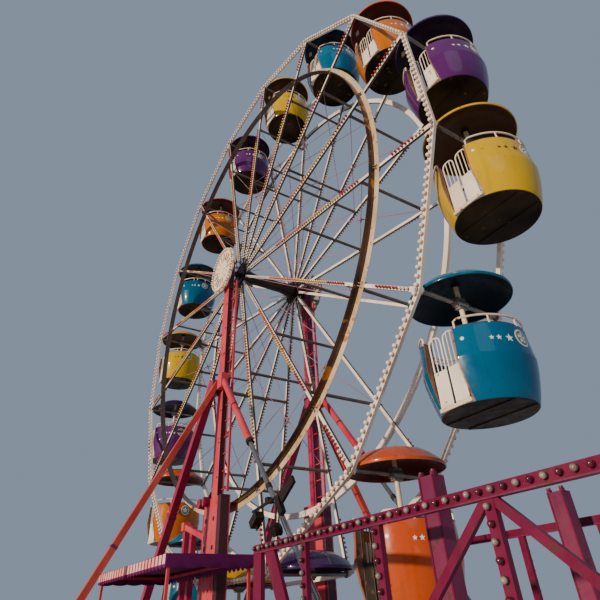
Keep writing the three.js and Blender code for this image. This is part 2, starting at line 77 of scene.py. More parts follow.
def studio_sun(name, towards, strength, colour, softness):
    """A distant lamp whose light travels along the direction named by its three numbers."""
    lamp = bpy.data.lights.new(name, "SUN")
    lamp.energy = strength
    lamp.color = colour
    lamp.angle = math.radians(softness)
    holder = bpy.data.objects.new(name, lamp)
    scene.collection.objects.link(holder)
    away = -np.array(towards, float) / np.linalg.norm(towards)
    across = np.cross([0.0, 0.0, 1.0], away)
    across = across / np.linalg.norm(across)
    turn = np.eye(4)
    turn[:3, 0], turn[:3, 1], turn[:3, 2] = across, np.cross(away, across), away
    holder.matrix_world = Matrix(turn.tolist())


studio_sun("low_sun", (-0.15, 0.97, -0.15), 4.8, (1.0, 0.80, 0.58), 2.0)
studio_sun("soft_fill", (-0.80, 0.35, -0.50), 0.25, (0.72, 0.84, 1.0), 30.0)

# Materials. Every finish is worked out from the place on the object: broad bleached patches, dirt
# that has run downwards, chips down to rust and a fine grain that the light catches. On the tub
# undersides the broad patches are painted reflection, and the spokes' sides carry painted shade.


def blended(tree, share, under, over):
    """Mixes two colours, each a socket or three numbers: over shows where the share is one."""
    mix = tree.nodes.new("ShaderNodeMix")
    mix.data_type = "RGBA"
    tree.links.new(share, mix.inputs["Factor"])
    for target, value in zip([s for s in mix.inputs if s.type == "RGBA"], (under, over)):
        if isinstance(value, tuple):
            target.default_value = (*value, 1.0)
        else:
            tree.links.new(value, target)
    return [s for s in mix.outputs if s.type == "RGBA"][0]


def finish(name, colour, fade_and_sheen_tone, chipped, chips=0.5, streaks=0.25, rough=0.4, metal=0.0,
           coat=0.0, grain=55.0, bump=0.08, chip_scale=7.0, shine=0.5, gloss=0.12):
    """Paint on metal: a second tone in broad patches follows slow noise (bleached paint on most
    finishes, painted reflection on the tub undersides), streaks follow noise drawn out along Z, and
    chips show where a finer noise passes a threshold that falls as the wear goes up."""
    material = bpy.data.materials.new(name)
    material.use_nodes = True
    tree = material.node_tree
    nodes, links = tree.nodes, tree.links
    shader = nodes["Principled BSDF"]
    dials(shader, {"Metallic": metal, "Coat Weight": coat, "Coat Roughness": gloss,
                   "Specular IOR Level": shine})
    place = nodes.new("ShaderNodeTexCoord")

    def noise(scale, detail, stretch=(1.0, 1.0, 1.0)):
        turn = nodes.new("ShaderNodeMapping")
        dials(turn, {"Scale": stretch})
        cloud = nodes.new("ShaderNodeTexNoise")
        dials(cloud, {"Scale": scale, "Detail": detail})
        links.new(place.outputs["Object"], turn.inputs["Vector"])
        links.new(turn.outputs["Vector"], cloud.inputs["Vector"])
        return cloud.outputs["Fac"]

    def between(value, low, high, out_low, out_high):
        span = nodes.new("ShaderNodeMapRange")
        dials(span, {"From Min": low, "From Max": high, "To Min": out_low, "To Max": out_high})
        links.new(value, span.inputs["Value"])
        return span.outputs["Result"]

    fade_and_sheen = between(noise(0.9, 5.0), 0.35, 0.68, 0.0, 1.0)
    tone = blended(tree, fade_and_sheen, colour, fade_and_sheen_tone)
    dirt = tuple(0.35 * c + 0.01 for c in colour)
    run = between(noise(5.0, 4.0, (1.0, 1.0, 0.12)), 0.52, 0.78, 0.0, streaks)
    tone = blended(tree, run, tone, dirt)
    worn = noise(chip_scale, 9.0)
    chip = between(worn, 0.70 - 0.13 * chips, 0.72 - 0.12 * chips, 0.0, 0.85)
    tone = blended(tree, chip, tone, chipped)
    links.new(tone, shader.inputs["Base Color"])
    links.new(between(worn, 0.3, 0.75, rough * 0.75, min(1.0, rough * 1.7)), shader.inputs["Roughness"])
    relief = nodes.new("ShaderNodeBump")
    dials(relief, {"Strength": bump, "Distance": 0.004})
    links.new(noise(grain, 6.0), relief.inputs["Height"])
    links.new(relief.outputs["Normal"], shader.inputs["Normal"])
    return material


RUST = (0.20, 0.07, 0.025)
white_paint = finish("white_paint", (0.82, 0.75, 0.66), (0.66, 0.54, 0.42), RUST, 0.25, 0.4, 0.34)
dark_steel = finish("dark_steel", (0.022, 0.018, 0.017), (0.05, 0.038, 0.03), (0.12, 0.06, 0.03), 0.6, 0.3,
                    0.45, 0.6)

# Floor of the studio. It isn't part of the ride, and is only there to catch the shadows.
floor_mesh = bpy.data.meshes.new("floor")
floor_mesh.from_pydata([(-300, -300, 0), (300, -300, 0), (300, 300, 0), (-300, 300, 0)], [], [(0, 1, 2, 3)])
floor = bpy.data.objects.new("floor", floor_mesh)
scene.collection.objects.link(floor)
floor_mesh.materials.append(finish("studio_floor", (0.78, 0.77, 0.75), (0.74, 0.73, 0.71), (0.7, 0.7, 0.7),
                                   0.0, 0.0, 0.8, bump=0.02))

# Axle and hub. A turned steel spindle with a drum that narrows towards the middle carries both
# frames. It is one forging, painted dark, with grease at the ends.
TUBS = 16
AXLE_CIRCLE = 8.5
CENTRE = np.array([0.0, 0.0, 11.1])
REST_TURN = math.radians(-10.39)
FRAME_Y = 1.0
turns = REST_TURN + np.arange(TUBS) * 2 * np.pi / TUBS
outward = np.stack([np.cos(turns), np.zeros(TUBS), np.sin(turns)], 1)
around = np.stack([-np.sin(turns), np.zeros(TUBS), np.cos(turns)], 1)
ALONG_X, ALONG_Y, ALONG_Z = np.eye(3)
SIDES = ((-1, "front"), (1, "rear"))
RING_STEPS = 160


def grid_faces(rows, columns, wrap_rows=False, wrap_columns=False):
    """Four-cornered faces of a grid of points numbered row by row."""
    r = np.arange(rows if wrap_rows else rows - 1)[:, None]
    c = np.arange(columns if wrap_columns else columns - 1)[None, :]
    r2, c2 = (r + 1) % rows, (c + 1) % columns
    corners = [r * columns + c, r2 * columns + c, r2 * columns + c2, r * columns + c2]
    return np.stack([x.ravel() for x in np.broadcast_arrays(*corners)], 1)


def turned(profile, steps, centre=(0.0, 0.0, 0.0), axis="z", loop=True):
    """A profile of (radius, height) turned right round: radius times cosine and sine of the
    angle across the axis, and the height along it. A looped profile closes on itself."""
    profile = np.asarray(profile, float)
    turn = np.arange(steps) * 2 * np.pi / steps
    flat = [np.outer(np.cos(turn), profile[:, 0]), np.outer(np.sin(turn), profile[:, 0])]
    high = np.broadcast_to(profile[:, 1], flat[0].shape)
    order = [flat[0], flat[1], high] if axis == "z" else [flat[1], high, flat[0]]
    points = np.stack([x.ravel() for x in order], 1) + np.asarray(centre)
    return points, [grid_faces(steps, len(profile), True, loop)]


def together(*shapes):
    """Several shapes as one: the points one after another, and the faces renumbered."""
    points, faces, start = [], [], 0
    for part, sets in shapes:
        points.append(part)
        faces += [s + start for s in sets]
        start += len(part)
    return np.concatenate(points), faces


def piece(name, shape, material, body, angle=35.0, bevel=0.0, mend=False, stands_for=()):
    """Puts a shape or a list of shapes into a mesh; edges sharper than the angle stay sharp."""
    points, sets = together(*shape) if isinstance(shape, list) else shape
    mesh = bpy.data.meshes.new(name)
    mesh.from_pydata(points.tolist(), [], [face for s in sets for face in s.tolist()])
    if mend:
        work = bmesh.new()
        work.from_mesh(mesh)
        bmesh.ops.remove_doubles(work, verts=work.verts, dist=1e-5)
        bmesh.ops.dissolve_degenerate(work, edges=work.edges, dist=1e-6)
        bmesh.ops.recalc_face_normals(work, faces=work.faces)
        work.to_mesh(mesh)
        work.free()
    mesh.materials.append(material)
    mesh.shade_smooth()
    mesh.set_sharp_from_angle(angle=math.radians(angle))
    made = bpy.data.objects.new(name, mesh)
    scene.collection.objects.link(made)
    if bevel:
        edge = made.modifiers.new("edge", "BEVEL")
        edge.width = bevel
        edge.segments = 2
        edge.limit_method = "ANGLE"
        edge.harden_normals = True
    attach(made, body)
    if stands_for:
        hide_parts(*stands_for)
    return made


spindle = np.array([[0.0, 1.462], [0.06, 1.468], [0.083, 1.455], [0.085, 1.10], [0.088, 1.032],
                    [0.125, 1.012], [0.125, 0.970], [0.235, 0.969], [0.25, 0.955], [0.25, 0.90],
                    [0.235, 0.80], [0.195, 0.60], [0.178, 0.52], [0.175, 0.40]])
whole_spindle = np.concatenate([spindle * (1, -1), spindle[::-1]])
piece("hub_spindle", turned(whole_spindle, 48, CENTRE, "y", False), dark_steel, "wheel",
      mend=True, stands_for=("wheel_axle",))


def box_shape():
    """A cube of side one round the origin."""
    corners = np.array([[x, y, z] for x in (-0.5, 0.5) for y in (-0.5, 0.5) for z in (-0.5, 0.5)])
    faces = [[0, 1, 3, 2], [4, 6, 7, 5], [0, 4, 5, 1], [2, 3, 7, 6], [0, 2, 6, 4], [1, 5, 7, 3]]
    return corners, [np.array(faces)]


def round_shape(sides):
    """A cylinder of radius one and length one along Z: cosine and sine of equal turns."""
    turn = np.arange(sides) * 2 * np.pi / sides
    ring = np.stack([np.cos(turn), np.sin(turn)], 1)
    points = np.concatenate([np.c_[ring, np.full(sides, -0.5)], np.c_[ring, np.full(sides, 0.5)]])
    k = np.arange(sides)
    walls = np.stack([k, (k + 1) % sides, (k + 1) % sides + sides, k + sides], 1)
    return points, [walls, np.stack([k[::-1], k + sides])]


def placed(shape, origins, frames):
    """Copies of a shape: each origin plus the point's three numbers times the frame's columns."""
    points, sets = shape
    origins = np.atleast_2d(origins)
    frames = np.broadcast_to(frames, (len(origins), 3, 3))
    moved = origins[:, None, :] + np.einsum("nij,vj->nvi", frames, points)
    shift = (np.arange(len(origins)) * len(points))[:, None, None]
    return moved.reshape(-1, 3), [(s[None] + shift).reshape(-1, s.shape[1]) for s in sets]


def spans(starts, ends, width, depth, side=None):
    """Middles and frames of straight members. The section's first size lies along the given
    side, made square to the member; the second is square to both."""
    starts, ends = np.atleast_2d(starts).astype(float), np.atleast_2d(ends).astype(float)
    starts, ends = np.broadcast_arrays(starts, ends)
    along = ends - starts
    unit = along / np.linalg.norm(along, axis=1, keepdims=True)
    if side is None:
        side = np.eye(3)[np.argmin(np.abs(unit), axis=1)]
    side = np.broadcast_to(np.asarray(side, float), unit.shape)
    across = side - (side * unit).sum(1, keepdims=True) * unit
    across = across / np.linalg.norm(across, axis=1, keepdims=True)
    return (starts + ends) / 2, np.stack([across * width, np.cross(unit, across) * depth, along], 2)


def bars(starts, ends, width, depth, side=None):
    return placed(box_shape(), *spans(starts, ends, width, depth, side))


def rods(starts, ends, radius, sides=12):
    return placed(round_shape(sides), *spans(starts, ends, radius, radius))


def block(one, other):
    """A box between two opposite corners."""
    low, high = np.minimum(one, other), np.maximum(one, other)
    return placed(box_shape(), (low + high) / 2, np.diag(high - low))


def on_wheel(radius, y, index=slice(None), swing=0.0):
    """The point at a radius on each spoke's line, with a sideways step along the rim."""
    return CENTRE + outward[index] * radius + around[index] * swing + ALONG_Y * y


def pins(radius, near, far, thick, sides, swing=0.0):
    """One round pin at every spoke, at a radius, between two places along Y."""
    return rods(on_wheel(radius, near, swing=swing), on_wheel(radius, far, swing=swing), thick, sides)


def washer(inner, outer, near, far, steps=RING_STEPS):
    """A flat ring round the axle, between two radii and two places along Y."""
    return turned([[inner, near], [outer, near], [outer, far], [inner, far]], steps, CENTRE, "y")


def round_axle(count, radius, y):
    """Even steps round the axle: the radius times cosine and sine, at a place along Y."""
    turn = np.arange(count) * 2 * np.pi / count
    return CENTRE + np.stack([radius * np.cos(turn), np.full(count, y), radius * np.sin(turn)], 1)


for side, word in SIDES:
    spots = round_axle(12, 0.345, side * 1.03)
    heads = rods(spots, spots + ALONG_Y * side * 0.022, 0.021, 6)
    plate = washer(0.13, 0.30, side * 1.031, side * 1.046, 40)
    piece(f"{word}_hub_bolts", [heads, plate], dark_steel, "wheel", mend=True)

# Spokes, rims and tub axles. Box section arms run from the hub flange to sixteen-sided rims of
# box section, in white enamel that has yellowed. The sides of the spokes carry painted shade in dull brown.
tie_steel = finish("tie_steel", (0.10, 0.075, 0.06), (0.19, 0.15, 0.12), RUST, 0.8, 0.4, 0.5, 0.4)
axle_steel = finish("axle_steel", (0.33, 0.31, 0.29), (0.22, 0.19, 0.17), RUST, 0.6, 0.4, 0.42, 0.7)
spoke_enamel_and_side_shade = white_paint.copy()
spoke_enamel_and_side_shade.name = "spoke_enamel_and_side_shade"
tree = spoke_enamel_and_side_shade.node_tree
shader = tree.nodes["Principled BSDF"]
enamel_tone = shader.inputs["Base Color"].links[0].from_socket
spoke_place = tree.nodes.new("ShaderNodeTexCoord")
split = tree.nodes.new("ShaderNodeSeparateXYZ")
tree.links.new(spoke_place.outputs["Object"], split.inputs["Vector"])
depth = split.outputs["Y"]


def worked_out(operation, *values):
    """One step of arithmetic on two values, each a socket or a number."""
    node = tree.nodes.new("ShaderNodeMath")
    node.operation = operation
    for socket, value in zip(node.inputs, values):
        if isinstance(value, float):
            socket.default_value = value
        else:
            tree.links.new(value, socket)
    return node.outputs[0]


# Between these depths lie the spokes' sides and the back of the front frame, which get painted
# shade in dull brown. The other faces stay enamel.
side_shade_strips = [worked_out("MULTIPLY", worked_out("GREATER_THAN", depth, low), worked_out("LESS_THAN", depth, high))
          for low, high in ((-1.027, 0.9655), (0.9735, 1.027))]
# The dull brown of these strips is painted shade.
side_shade_tone = blended(tree, worked_out("ADD", *side_shade_strips), enamel_tone, (0.085, 0.055, 0.042))
tree.links.new(side_shade_tone, shader.inputs["Base Color"])


def refinish(material, *names):
    """Gives the CAD nodes' own objects a finish."""
    for name in names:
        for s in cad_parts[name].material_slots:
            s.material = material


refinish(spoke_enamel_and_side_shade, "front_spokes", "rear_spokes")
refinish(white_paint, "front_rim", "rear_rim")

OUTER_TIE, INNER_TIE = 0.735 * AXLE_CIRCLE, 0.44 * AXLE_CIRCLE
inside = FRAME_Y - 0.032
tubes = [pins(r, -inside, inside, 0.0385, 14) for r in (OUTER_TIE, INNER_TIE)]
collars = [pins(r, s * (inside - 0.03), s * inside, 0.055, 14) for r in (OUTER_TIE, INNER_TIE)
           for s in (-1, 1)]
piece("cross_ties", tubes + collars, tie_steel, "wheel")

shafts = pins(AXLE_CIRCLE, -0.966, 0.966, 0.0415, 18)
flanges = [pins(AXLE_CIRCLE, s * 0.94, s * 0.966, 0.075, 18) for s in (-1, 1)]
nuts = [pins(AXLE_CIRCLE, s * 1.034, s * 1.075, 0.040, 6) for s in (-1, 1)]
piece("tub_axles", [shafts, *flanges, *nuts], axle_steel, "wheel")
# Greasy plates with a ring of bolts clamp the spokes at each hub.
plates = [washer(0.135, 0.436, s - 0.033, s + 0.033, 64) for s in (-FRAME_Y, FRAME_Y)]
bolts = [pins(r, s - 0.056, s + 0.056, 0.020, 6, math.pi / TUBS) for s in (-FRAME_Y, FRAME_Y)
         for r in (0.22, 0.38)]
piece("hub_plates", plates + bolts, dark_steel, "wheel", mend=True)

# Corner plates bolt each rim joint to its spoke.
corner_parts = []
for s in (-1, 1):
    y = s * (FRAME_Y + 0.038)
    corner_parts.append(bars(on_wheel(AXLE_CIRCLE - 0.20, y), on_wheel(AXLE_CIRCLE + 0.045, y),
                             0.10, 0.008, around))
    corner_parts += [pins(AXLE_CIRCLE - 0.02, y, y + s * 0.016, 0.013, 6, swing) for swing in (-0.09, 0.09)]
    corner_parts += [pins(AXLE_CIRCLE - r, y, y + s * 0.018, 0.013, 6) for r in (0.15, 0.10)]
piece("rim_corner_plates", corner_parts, white_paint, "wheel")

# Tie rods cross between the two frames on every spoke line and pull them square. They are thin
# steel rods with a turnbuckle in the middle, painted dull pink.
rod_parts = []
for s in (-1, 1):
    a, b = on_wheel(INNER_TIE, s * 0.955), on_wheel(OUTER_TIE, -s * 0.955)
    rod_parts.append(rods(a, b, 0.008, 8))
    middle = (a + b) / 2
    reach = (b - a) * 0.035
    rod_parts.append(rods(middle - reach, middle + reach, 0.020, 8))
    hub = on_wheel(0.42, s * 0.955)
    rod_parts.append(rods(hub, on_wheel(INNER_TIE, -s * 0.955), 0.008, 8))
rod_paint = finish("rod_paint", (0.32, 0.09, 0.15), (0.42, 0.22, 0.24), RUST, 0.4, 0.3, 0.4)
piece("tie_rods", rod_parts, rod_paint, "wheel")

# Drive rings. In front a bronze plate lies on the spokes and a rolled drum stands forward from
# its inner edge, burnished dark by the drive. The rear ring is a slim white box.
bronze_ring = finish("bronze_ring", (0.50, 0.35, 0.18), (0.68, 0.56, 0.40), (0.34, 0.15, 0.03), 0.8, 0.5,
                     0.36, 0.2, grain=30.0, bump=0.12)
drum_steel = finish("drum_steel", (0.050, 0.030, 0.024), (0.12, 0.065, 0.045), (0.45, 0.19, 0.03), 0.75, 0.4,
                    0.26, 0.6, grain=24.0, bump=0.12, chip_scale=2.6)
ring_back = -FRAME_Y - 0.0305
plate_face = ring_back - 0.016
plate_profile = [[6.808, ring_back], [6.940, ring_back], [6.945, ring_back - 0.004],
                 [6.945, plate_face + 0.004], [6.940, plate_face], [6.808, plate_face]]
piece("front_ring_plate", turned(plate_profile, RING_STEPS, CENTRE, "y"), bronze_ring, "wheel",
      mend=True, stands_for=("front_drive_ring",))
drum_profile = [[6.790, ring_back], [6.806, ring_back], [6.806, -1.198], [6.802, -1.2053], [6.794, -1.2053],
                [6.790, -1.198]]
piece("front_ring_drum", turned(drum_profile, RING_STEPS, CENTRE, "y"), drum_steel, "wheel",
      mend=True, stands_for=("front_drive_ring",))
worn_steel = finish("worn_steel", (0.13, 0.10, 0.085), (0.20, 0.14, 0.10), (0.30, 0.12, 0.03), 0.6, 0.3,
                    0.28, 0.8, grain=24.0, bump=0.1)
track = washer(6.7865, 6.7895, ring_back, -1.200)
piece("front_ring_track", track, worn_steel, "wheel", mend=True)
liner = washer(6.7955, 6.7995, 1.036, 1.110)
piece("rear_ring_liner", liner, drum_steel, "wheel", mend=True)
box_profile = [[6.803, 1.0305], [6.932, 1.0305], [6.935, 1.034], [6.935, 1.112], [6.932, 1.115],
               [6.803, 1.115], [6.800, 1.112], [6.800, 1.034]]
piece("rear_ring", turned(box_profile, RING_STEPS, CENTRE, "y"), white_paint, "wheel",
      mend=True, stands_for=("rear_drive_ring",))
CLIP_RADIUS = 6.875
strap_y = 0.038 - FRAME_Y
clips = []
for swing in (-0.058, 0.058):
    clips.append(pins(CLIP_RADIUS, 0.045 - FRAME_Y, plate_face - 0.020, 0.010, 8, swing))
    clips.append(pins(CLIP_RADIUS, plate_face, plate_face - 0.014, 0.019, 6, swing))
clips.append(bars(on_wheel(CLIP_RADIUS, strap_y, swing=-0.085), on_wheel(CLIP_RADIUS, strap_y, swing=0.085),
                  0.045, 0.010, outward))
# A small gusset stiffens the drum at every spoke.
for swing in (-0.03, 0.03):
    clips.append(bars(on_wheel(6.808, plate_face - 0.055, swing=swing),
                      on_wheel(6.870, plate_face - 0.004, swing=swing), 0.008, 0.05, around))
piece("front_ring_clips", clips, axle_steel, "wheel")
rear_clips = [bars(on_wheel(r, 1.034, swing=swing), on_wheel(r, 1.100, swing=swing), 0.05, 0.008, around)
              for r in (6.792, 6.943) for swing in (-0.06, 0.06)]
piece("rear_ring_clips", rear_clips, white_paint, "wheel")

# Bulbs. Small coloured lamps in pressed sockets stand in rows on the spokes, the rims, the front
# sign and the fences. Each is a moulded cap on a short skirt.


def lamp_finish(name, colour, dark):
    """Tinted plastic: the tint follows noise finer than the spacing, so no two caps match."""
    material = finish(name, colour, dark, tuple(0.5 * c for c in colour), 0.0, 0.15, 0.22, coat=0.6,
                      bump=0.02)
    for cloud in material.node_tree.nodes:
        if cloud.type == "TEX_NOISE" and cloud.inputs["Scale"].default_value < 1.0:
            cloud.inputs["Scale"].default_value = 9.0
    return material


lamp_colours = {
    "white": lamp_finish("lamp_white", (0.85, 0.78, 0.68), (0.66, 0.52, 0.42)),
    "orange": lamp_finish("lamp_orange", (0.78, 0.16, 0.012), (0.55, 0.09, 0.01)),
    "yellow": lamp_finish("lamp_yellow", (0.88, 0.46, 0.012), (0.70, 0.32, 0.015)),
    "red": lamp_finish("lamp_red", (0.55, 0.008, 0.015), (0.28, 0.004, 0.01)),
    "ruby": lamp_finish("lamp_ruby", (0.12, 0.0, 0.009), (0.035, 0.0, 0.004)),
    "clear": lamp_finish("lamp_clear", (0.27, 0.23, 0.19), (0.13, 0.11, 0.09)),
}
socket_paint = finish("socket_paint", (0.75, 0.35, 0.25), (0.60, 0.26, 0.18), RUST, 0.4, 0.2, 0.4)
cap_profile = np.array([[0.0, 0.018], [0.020, 0.018], [0.027, 0.034], [0.026, 0.056], [0.016, 0.072],
                        [0.0, 0.078]])
cap_points, cap_faces = turned(cap_profile, 8, loop=False)
skirt_shape = placed(round_shape(8), (0.0, 0.0, 0.010), np.diag([0.026, 0.026, 0.022]))


def facing(direction):
    """A frame whose third column is the direction, for pieces that stand on a face."""
    direction = np.asarray(direction, float)
    side = np.eye(3)[np.argmin(np.abs(direction))]
    across = np.cross(side, direction)
    across = across / np.linalg.norm(across)
    return np.stack([across, np.cross(direction, across), direction], 1)


def lamps(name, spots, direction, colour, body, scale=1.0, wide=1.0):
    """Makes a row of caps on a face that looks in the direction, and returns their sockets."""
    turn = facing(direction) * (scale * wide, scale * wide, scale)
    piece(f"{name}_caps", placed((cap_points, cap_faces), spots, turn), lamp_colours[colour], body,
          angle=60.0, mend=True)
    return placed(skirt_shape, spots, turn)


spoke_stops = np.arange(0.62, 8.30, 0.098)
shares = spoke_stops / AXLE_CIRCLE
spoke_bands = {
    "white": (shares < 0.284) | (shares > 0.945),
    "orange": (shares >= 0.284) & (shares < 0.48),
    "yellow": (shares >= 0.48) & (shares < 0.65),
    "red": ((shares >= 0.65) & (shares < 0.735)) | ((shares > 0.862) & (shares <= 0.945)),
}
CHORD_LAMPS = 21
along_chord = (np.arange(CHORD_LAMPS) + 0.5) / CHORD_LAMPS
corner = outward * AXLE_CIRCLE
chord_spots = corner[:, None, :] * (1 - along_chord)[None, :, None] \
    + np.roll(corner, -1, 0)[:, None, :] * along_chord[None, :, None]
chord_spots = chord_spots.reshape(-1, 3) + CENTRE
for side, word in SIDES:
    skirts = []
    for colour, chosen in spoke_bands.items():
        spots = (outward[:, None, :] * spoke_stops[chosen][None, :, None]).reshape(-1, 3) + CENTRE
        spots = spots + ALONG_Y * side * (FRAME_Y + 0.030)
        skirts.append(lamps(f"{word}_spoke_{colour}", spots, side * ALONG_Y, colour, "wheel"))
    piece(f"{word}_spoke_sockets", skirts, tie_steel, "wheel")
    spots = chord_spots + ALONG_Y * side * (FRAME_Y + 0.035)
    skirts = lamps(f"{word}_rim_white", spots, side * ALONG_Y, "white", "wheel", 1.1, 1.35)
    piece(f"{word}_rim_sockets", skirts, socket_paint, "wheel")

# Tubs. Each shell is a moulded drum with a crease round its waist, in gloss enamel, with a
# doorway at the front. The canopy is a pressed dome on a post, and the bearing of the post turns
# on the cross shaft, so the tub hangs level.
RIM_Z, CREASE_Z, FLOOR_Z = -0.825, -1.32, -1.985
DOOR_HALF = 0.312
GATE_LOW = FLOOR_Z + 0.066


def enamel(name, colour, fade_and_sheen_tone):
    return finish(name, colour, fade_and_sheen_tone, tuple(0.3 * c + 0.02 for c in colour), 0.15, 0.30, 0.22, 0.0, 0.4,
                  grain=14.0, bump=0.03, chip_scale=11.0, shine=0.1, gloss=0.05)


KINDS = ("yellow", "purple", "orange", "teal")
tub_tones = (((0.48, 0.295, 0.0), (0.52, 0.33, 0.0)), ((0.062, 0.007, 0.090), (0.090, 0.014, 0.120)),
             ((0.43, 0.105, 0.0), (0.46, 0.13, 0.0)), ((0.0, 0.075, 0.16), (0.0, 0.10, 0.20)))
hood_tones = (((0.46, 0.25, 0.0), (0.50, 0.28, 0.0)), ((0.030, 0.009, 0.062), (0.045, 0.015, 0.085)),
              ((0.42, 0.055, 0.008), (0.46, 0.075, 0.012)), ((0.0, 0.075, 0.14), (0.0, 0.10, 0.18)))
tub_enamel = [enamel(f"tub_{kind}", *tones) for kind, tones in zip(KINDS, tub_tones)]
hood_enamel = [enamel(f"hood_{kind}", *tones) for kind, tones in zip(KINDS, hood_tones)]


def lining_gloss(name, colour):
    return finish(name, colour, tuple(1.6 * c for c in colour), tuple(0.5 * c for c in colour), 0.3, 0.4, 0.3,
                  grain=14.0, bump=0.05, shine=0.15)


lining_tones = ((0.060, 0.026, 0.008), (0.020, 0.008, 0.022), (0.075, 0.014, 0.008), (0.006, 0.014, 0.024))
lining_enamel = [lining_gloss(f"lining_{kind}", tone) for kind, tone in zip(KINDS, lining_tones)]
under_black = finish("under_black", (0.010, 0.007, 0.006), (0.022, 0.014, 0.010), (0.07, 0.035, 0.02), 0.3,
                     0.4, 0.30, bump=0.10, shine=0.15)
door_post_paint = finish("door_post_paint", (0.13, 0.055, 0.030), (0.24, 0.12, 0.07), (0.06, 0.025, 0.015),
                         0.9, 0.5, 0.42)
rail_paint = finish("rail_paint", (0.80, 0.64, 0.56), (0.60, 0.42, 0.34), RUST, 0.45, 0.4, 0.32)
cream_paint = finish("cream_paint", (0.74, 0.62, 0.44), (0.56, 0.42, 0.28), RUST, 0.6, 0.4, 0.4)
rim_rubber = finish("rim_rubber", (0.022, 0.018, 0.017), (0.04, 0.034, 0.03), (0.08, 0.07, 0.06), 0.3, 0.2,
                    0.6)

outer_wall = np.array([[0.728, FLOOR_Z], [0.741, FLOOR_Z + 0.006], [0.749, FLOOR_Z + 0.022], [0.795, -1.82],
                       [0.842, -1.64], [0.880, -1.46], [0.896, CREASE_Z - 0.025], [0.901, CREASE_Z],
                       [0.897, CREASE_Z + 0.025], [0.888, -1.18], [0.874, -0.98], [0.867, RIM_Z - 0.02],
                       [0.863, RIM_Z]])
inner_wall = outer_wall[::-1] - (0.024, 0.0)
shell_loop = np.concatenate([outer_wall, inner_wall])
STEPS = 84


def polar(radius, angle, height):
    """Points round Z: radius times cosine and sine of the angle, and the height."""
    return np.stack(np.broadcast_arrays(radius * np.cos(angle), radius * np.sin(angle), height), -1)


def shell_shape():
    """The wall's closed profile carried round the tub's axis. For each profile point the sweep
    starts and ends where its circle meets the doorway's straight edges."""
    radius, height = shell_loop[:, 0], shell_loop[:, 1]
    half_door = np.arcsin(DOOR_HALF / radius)
    share = np.linspace(0, 1, STEPS)[:, None]
    angle = -np.pi / 2 + half_door + share * (2 * np.pi - 2 * half_door)
    points = polar(radius, angle, height)
    count = len(shell_loop)
    j = np.arange(count // 2 - 1)
    end = np.stack([j, j + 1, count - 2 - j, count - 1 - j], 1)
    return points.reshape(-1, 3), [grid_faces(STEPS, count, False, True), end[:, ::-1],
                                   end + (STEPS - 1) * count]


def pipe(path, radius, normals, sides=10, closed=False):
    """A round tube: each path point plus the radius times (cosine of the normal and sine of the
    cross product of normal and direction)."""
    path = np.asarray(path, float)
    forward = np.roll(path, -1, 0) - np.roll(path, 1, 0) if closed else np.gradient(path, axis=0)
    forward = forward / np.linalg.norm(forward, axis=1, keepdims=True)
    normals = np.broadcast_to(np.asarray(normals, float), path.shape)
    n = normals - (normals * forward).sum(1, keepdims=True) * forward
    n = n / np.linalg.norm(n, axis=1, keepdims=True)
    b = np.cross(n, forward)
    turn = np.arange(sides) * 2 * np.pi / sides
    ring = np.cos(turn)[None, :, None] * n[:, None, :] + np.sin(turn)[None, :, None] * b[:, None, :]
    points = (path[:, None, :] + radius * ring).reshape(-1, 3)
    sets = [grid_faces(len(path), sides, closed, True)]
    if not closed:
        k = np.arange(sides)
        sets += [k[None, :], (k[::-1] + (len(path) - 1) * sides)[None, :]]
    return points, sets


def rounded(corners, radius, steps=5):
    """A path through corner points with each inner corner cut to a quadratic curve."""
    corners = np.asarray(corners, float)
    path = [corners[:1]]
    share = np.linspace(0, 1, steps)[:, None]
    for before, here, after in zip(corners[:-2], corners[1:-1], corners[2:]):
        into = here + (before - here) * min(0.5, radius / np.linalg.norm(before - here))
        out = here + (after - here) * min(0.5, radius / np.linalg.norm(after - here))
        path.append((1 - share) ** 2 * into + 2 * share * (1 - share) * here + share ** 2 * out)
    path.append(corners[-1:])
    return np.concatenate(path)


def hoop_shape(side):
    """A handrail: up from the rim beside the door, round above the rim, and down at the back."""
    radius = 0.852
    degrees = np.concatenate([[-66, -66], np.linspace(-62, 70, 27), [74, 74]])
    rise = np.concatenate([[-0.02, 0.10], np.full(27, 0.14), [0.10, -0.02]])
    angle = np.radians(degrees if side > 0 else 180 - degrees)
    parts = [pipe(polar(radius, angle, RIM_Z + rise), 0.018, polar(1.0, angle, 0.0), 10)]
    for degree in (-30, 5, 40):
        a = math.radians(degree if side > 0 else 180 - degree)
        foot = polar(radius, a, RIM_Z - 0.01)
        parts.append(rods(foot, foot + ALONG_Z * 0.145, 0.014, 8))
        parts.append(rods(foot, foot + ALONG_Z * 0.022, 0.026, 10))
    return together(*parts)


def leaf_shape(side, low):
    """One gate leaf: a flat lower panel, and above it one loop of tube with a round top that
    stands on the panel's corners, filled with two thin bars."""
    half, y, top, panel_top = 0.130, -0.735, -0.790, -1.370
    middle = side * 0.152
    panel = block((middle - half, y - 0.009, low), (middle + half, y + 0.009, panel_top))
    edge = [[middle - half + 0.012, y, low + 0.01], [middle - half + 0.012, y, top],
            [middle + half - 0.012, y, top], [middle + half - 0.012, y, low + 0.01]]
    parts = [panel, pipe(rounded(edge, 0.118, 8), 0.013, ALONG_Y, 8)]
    for x in (-0.040, 0.040):
        reach = top + 0.118 * (math.sqrt(1 - (x / 0.118) ** 2) - 1)
        parts.append(rods([middle + x, y, panel_top - 0.01], [middle + x, y, reach], 0.009, 6))
    for z in (low + 0.02, panel_top):
        parts.append(rods([middle - half, y - 0.003, z], [middle + half, y - 0.003, z], 0.012, 8))
    return together(*parts)


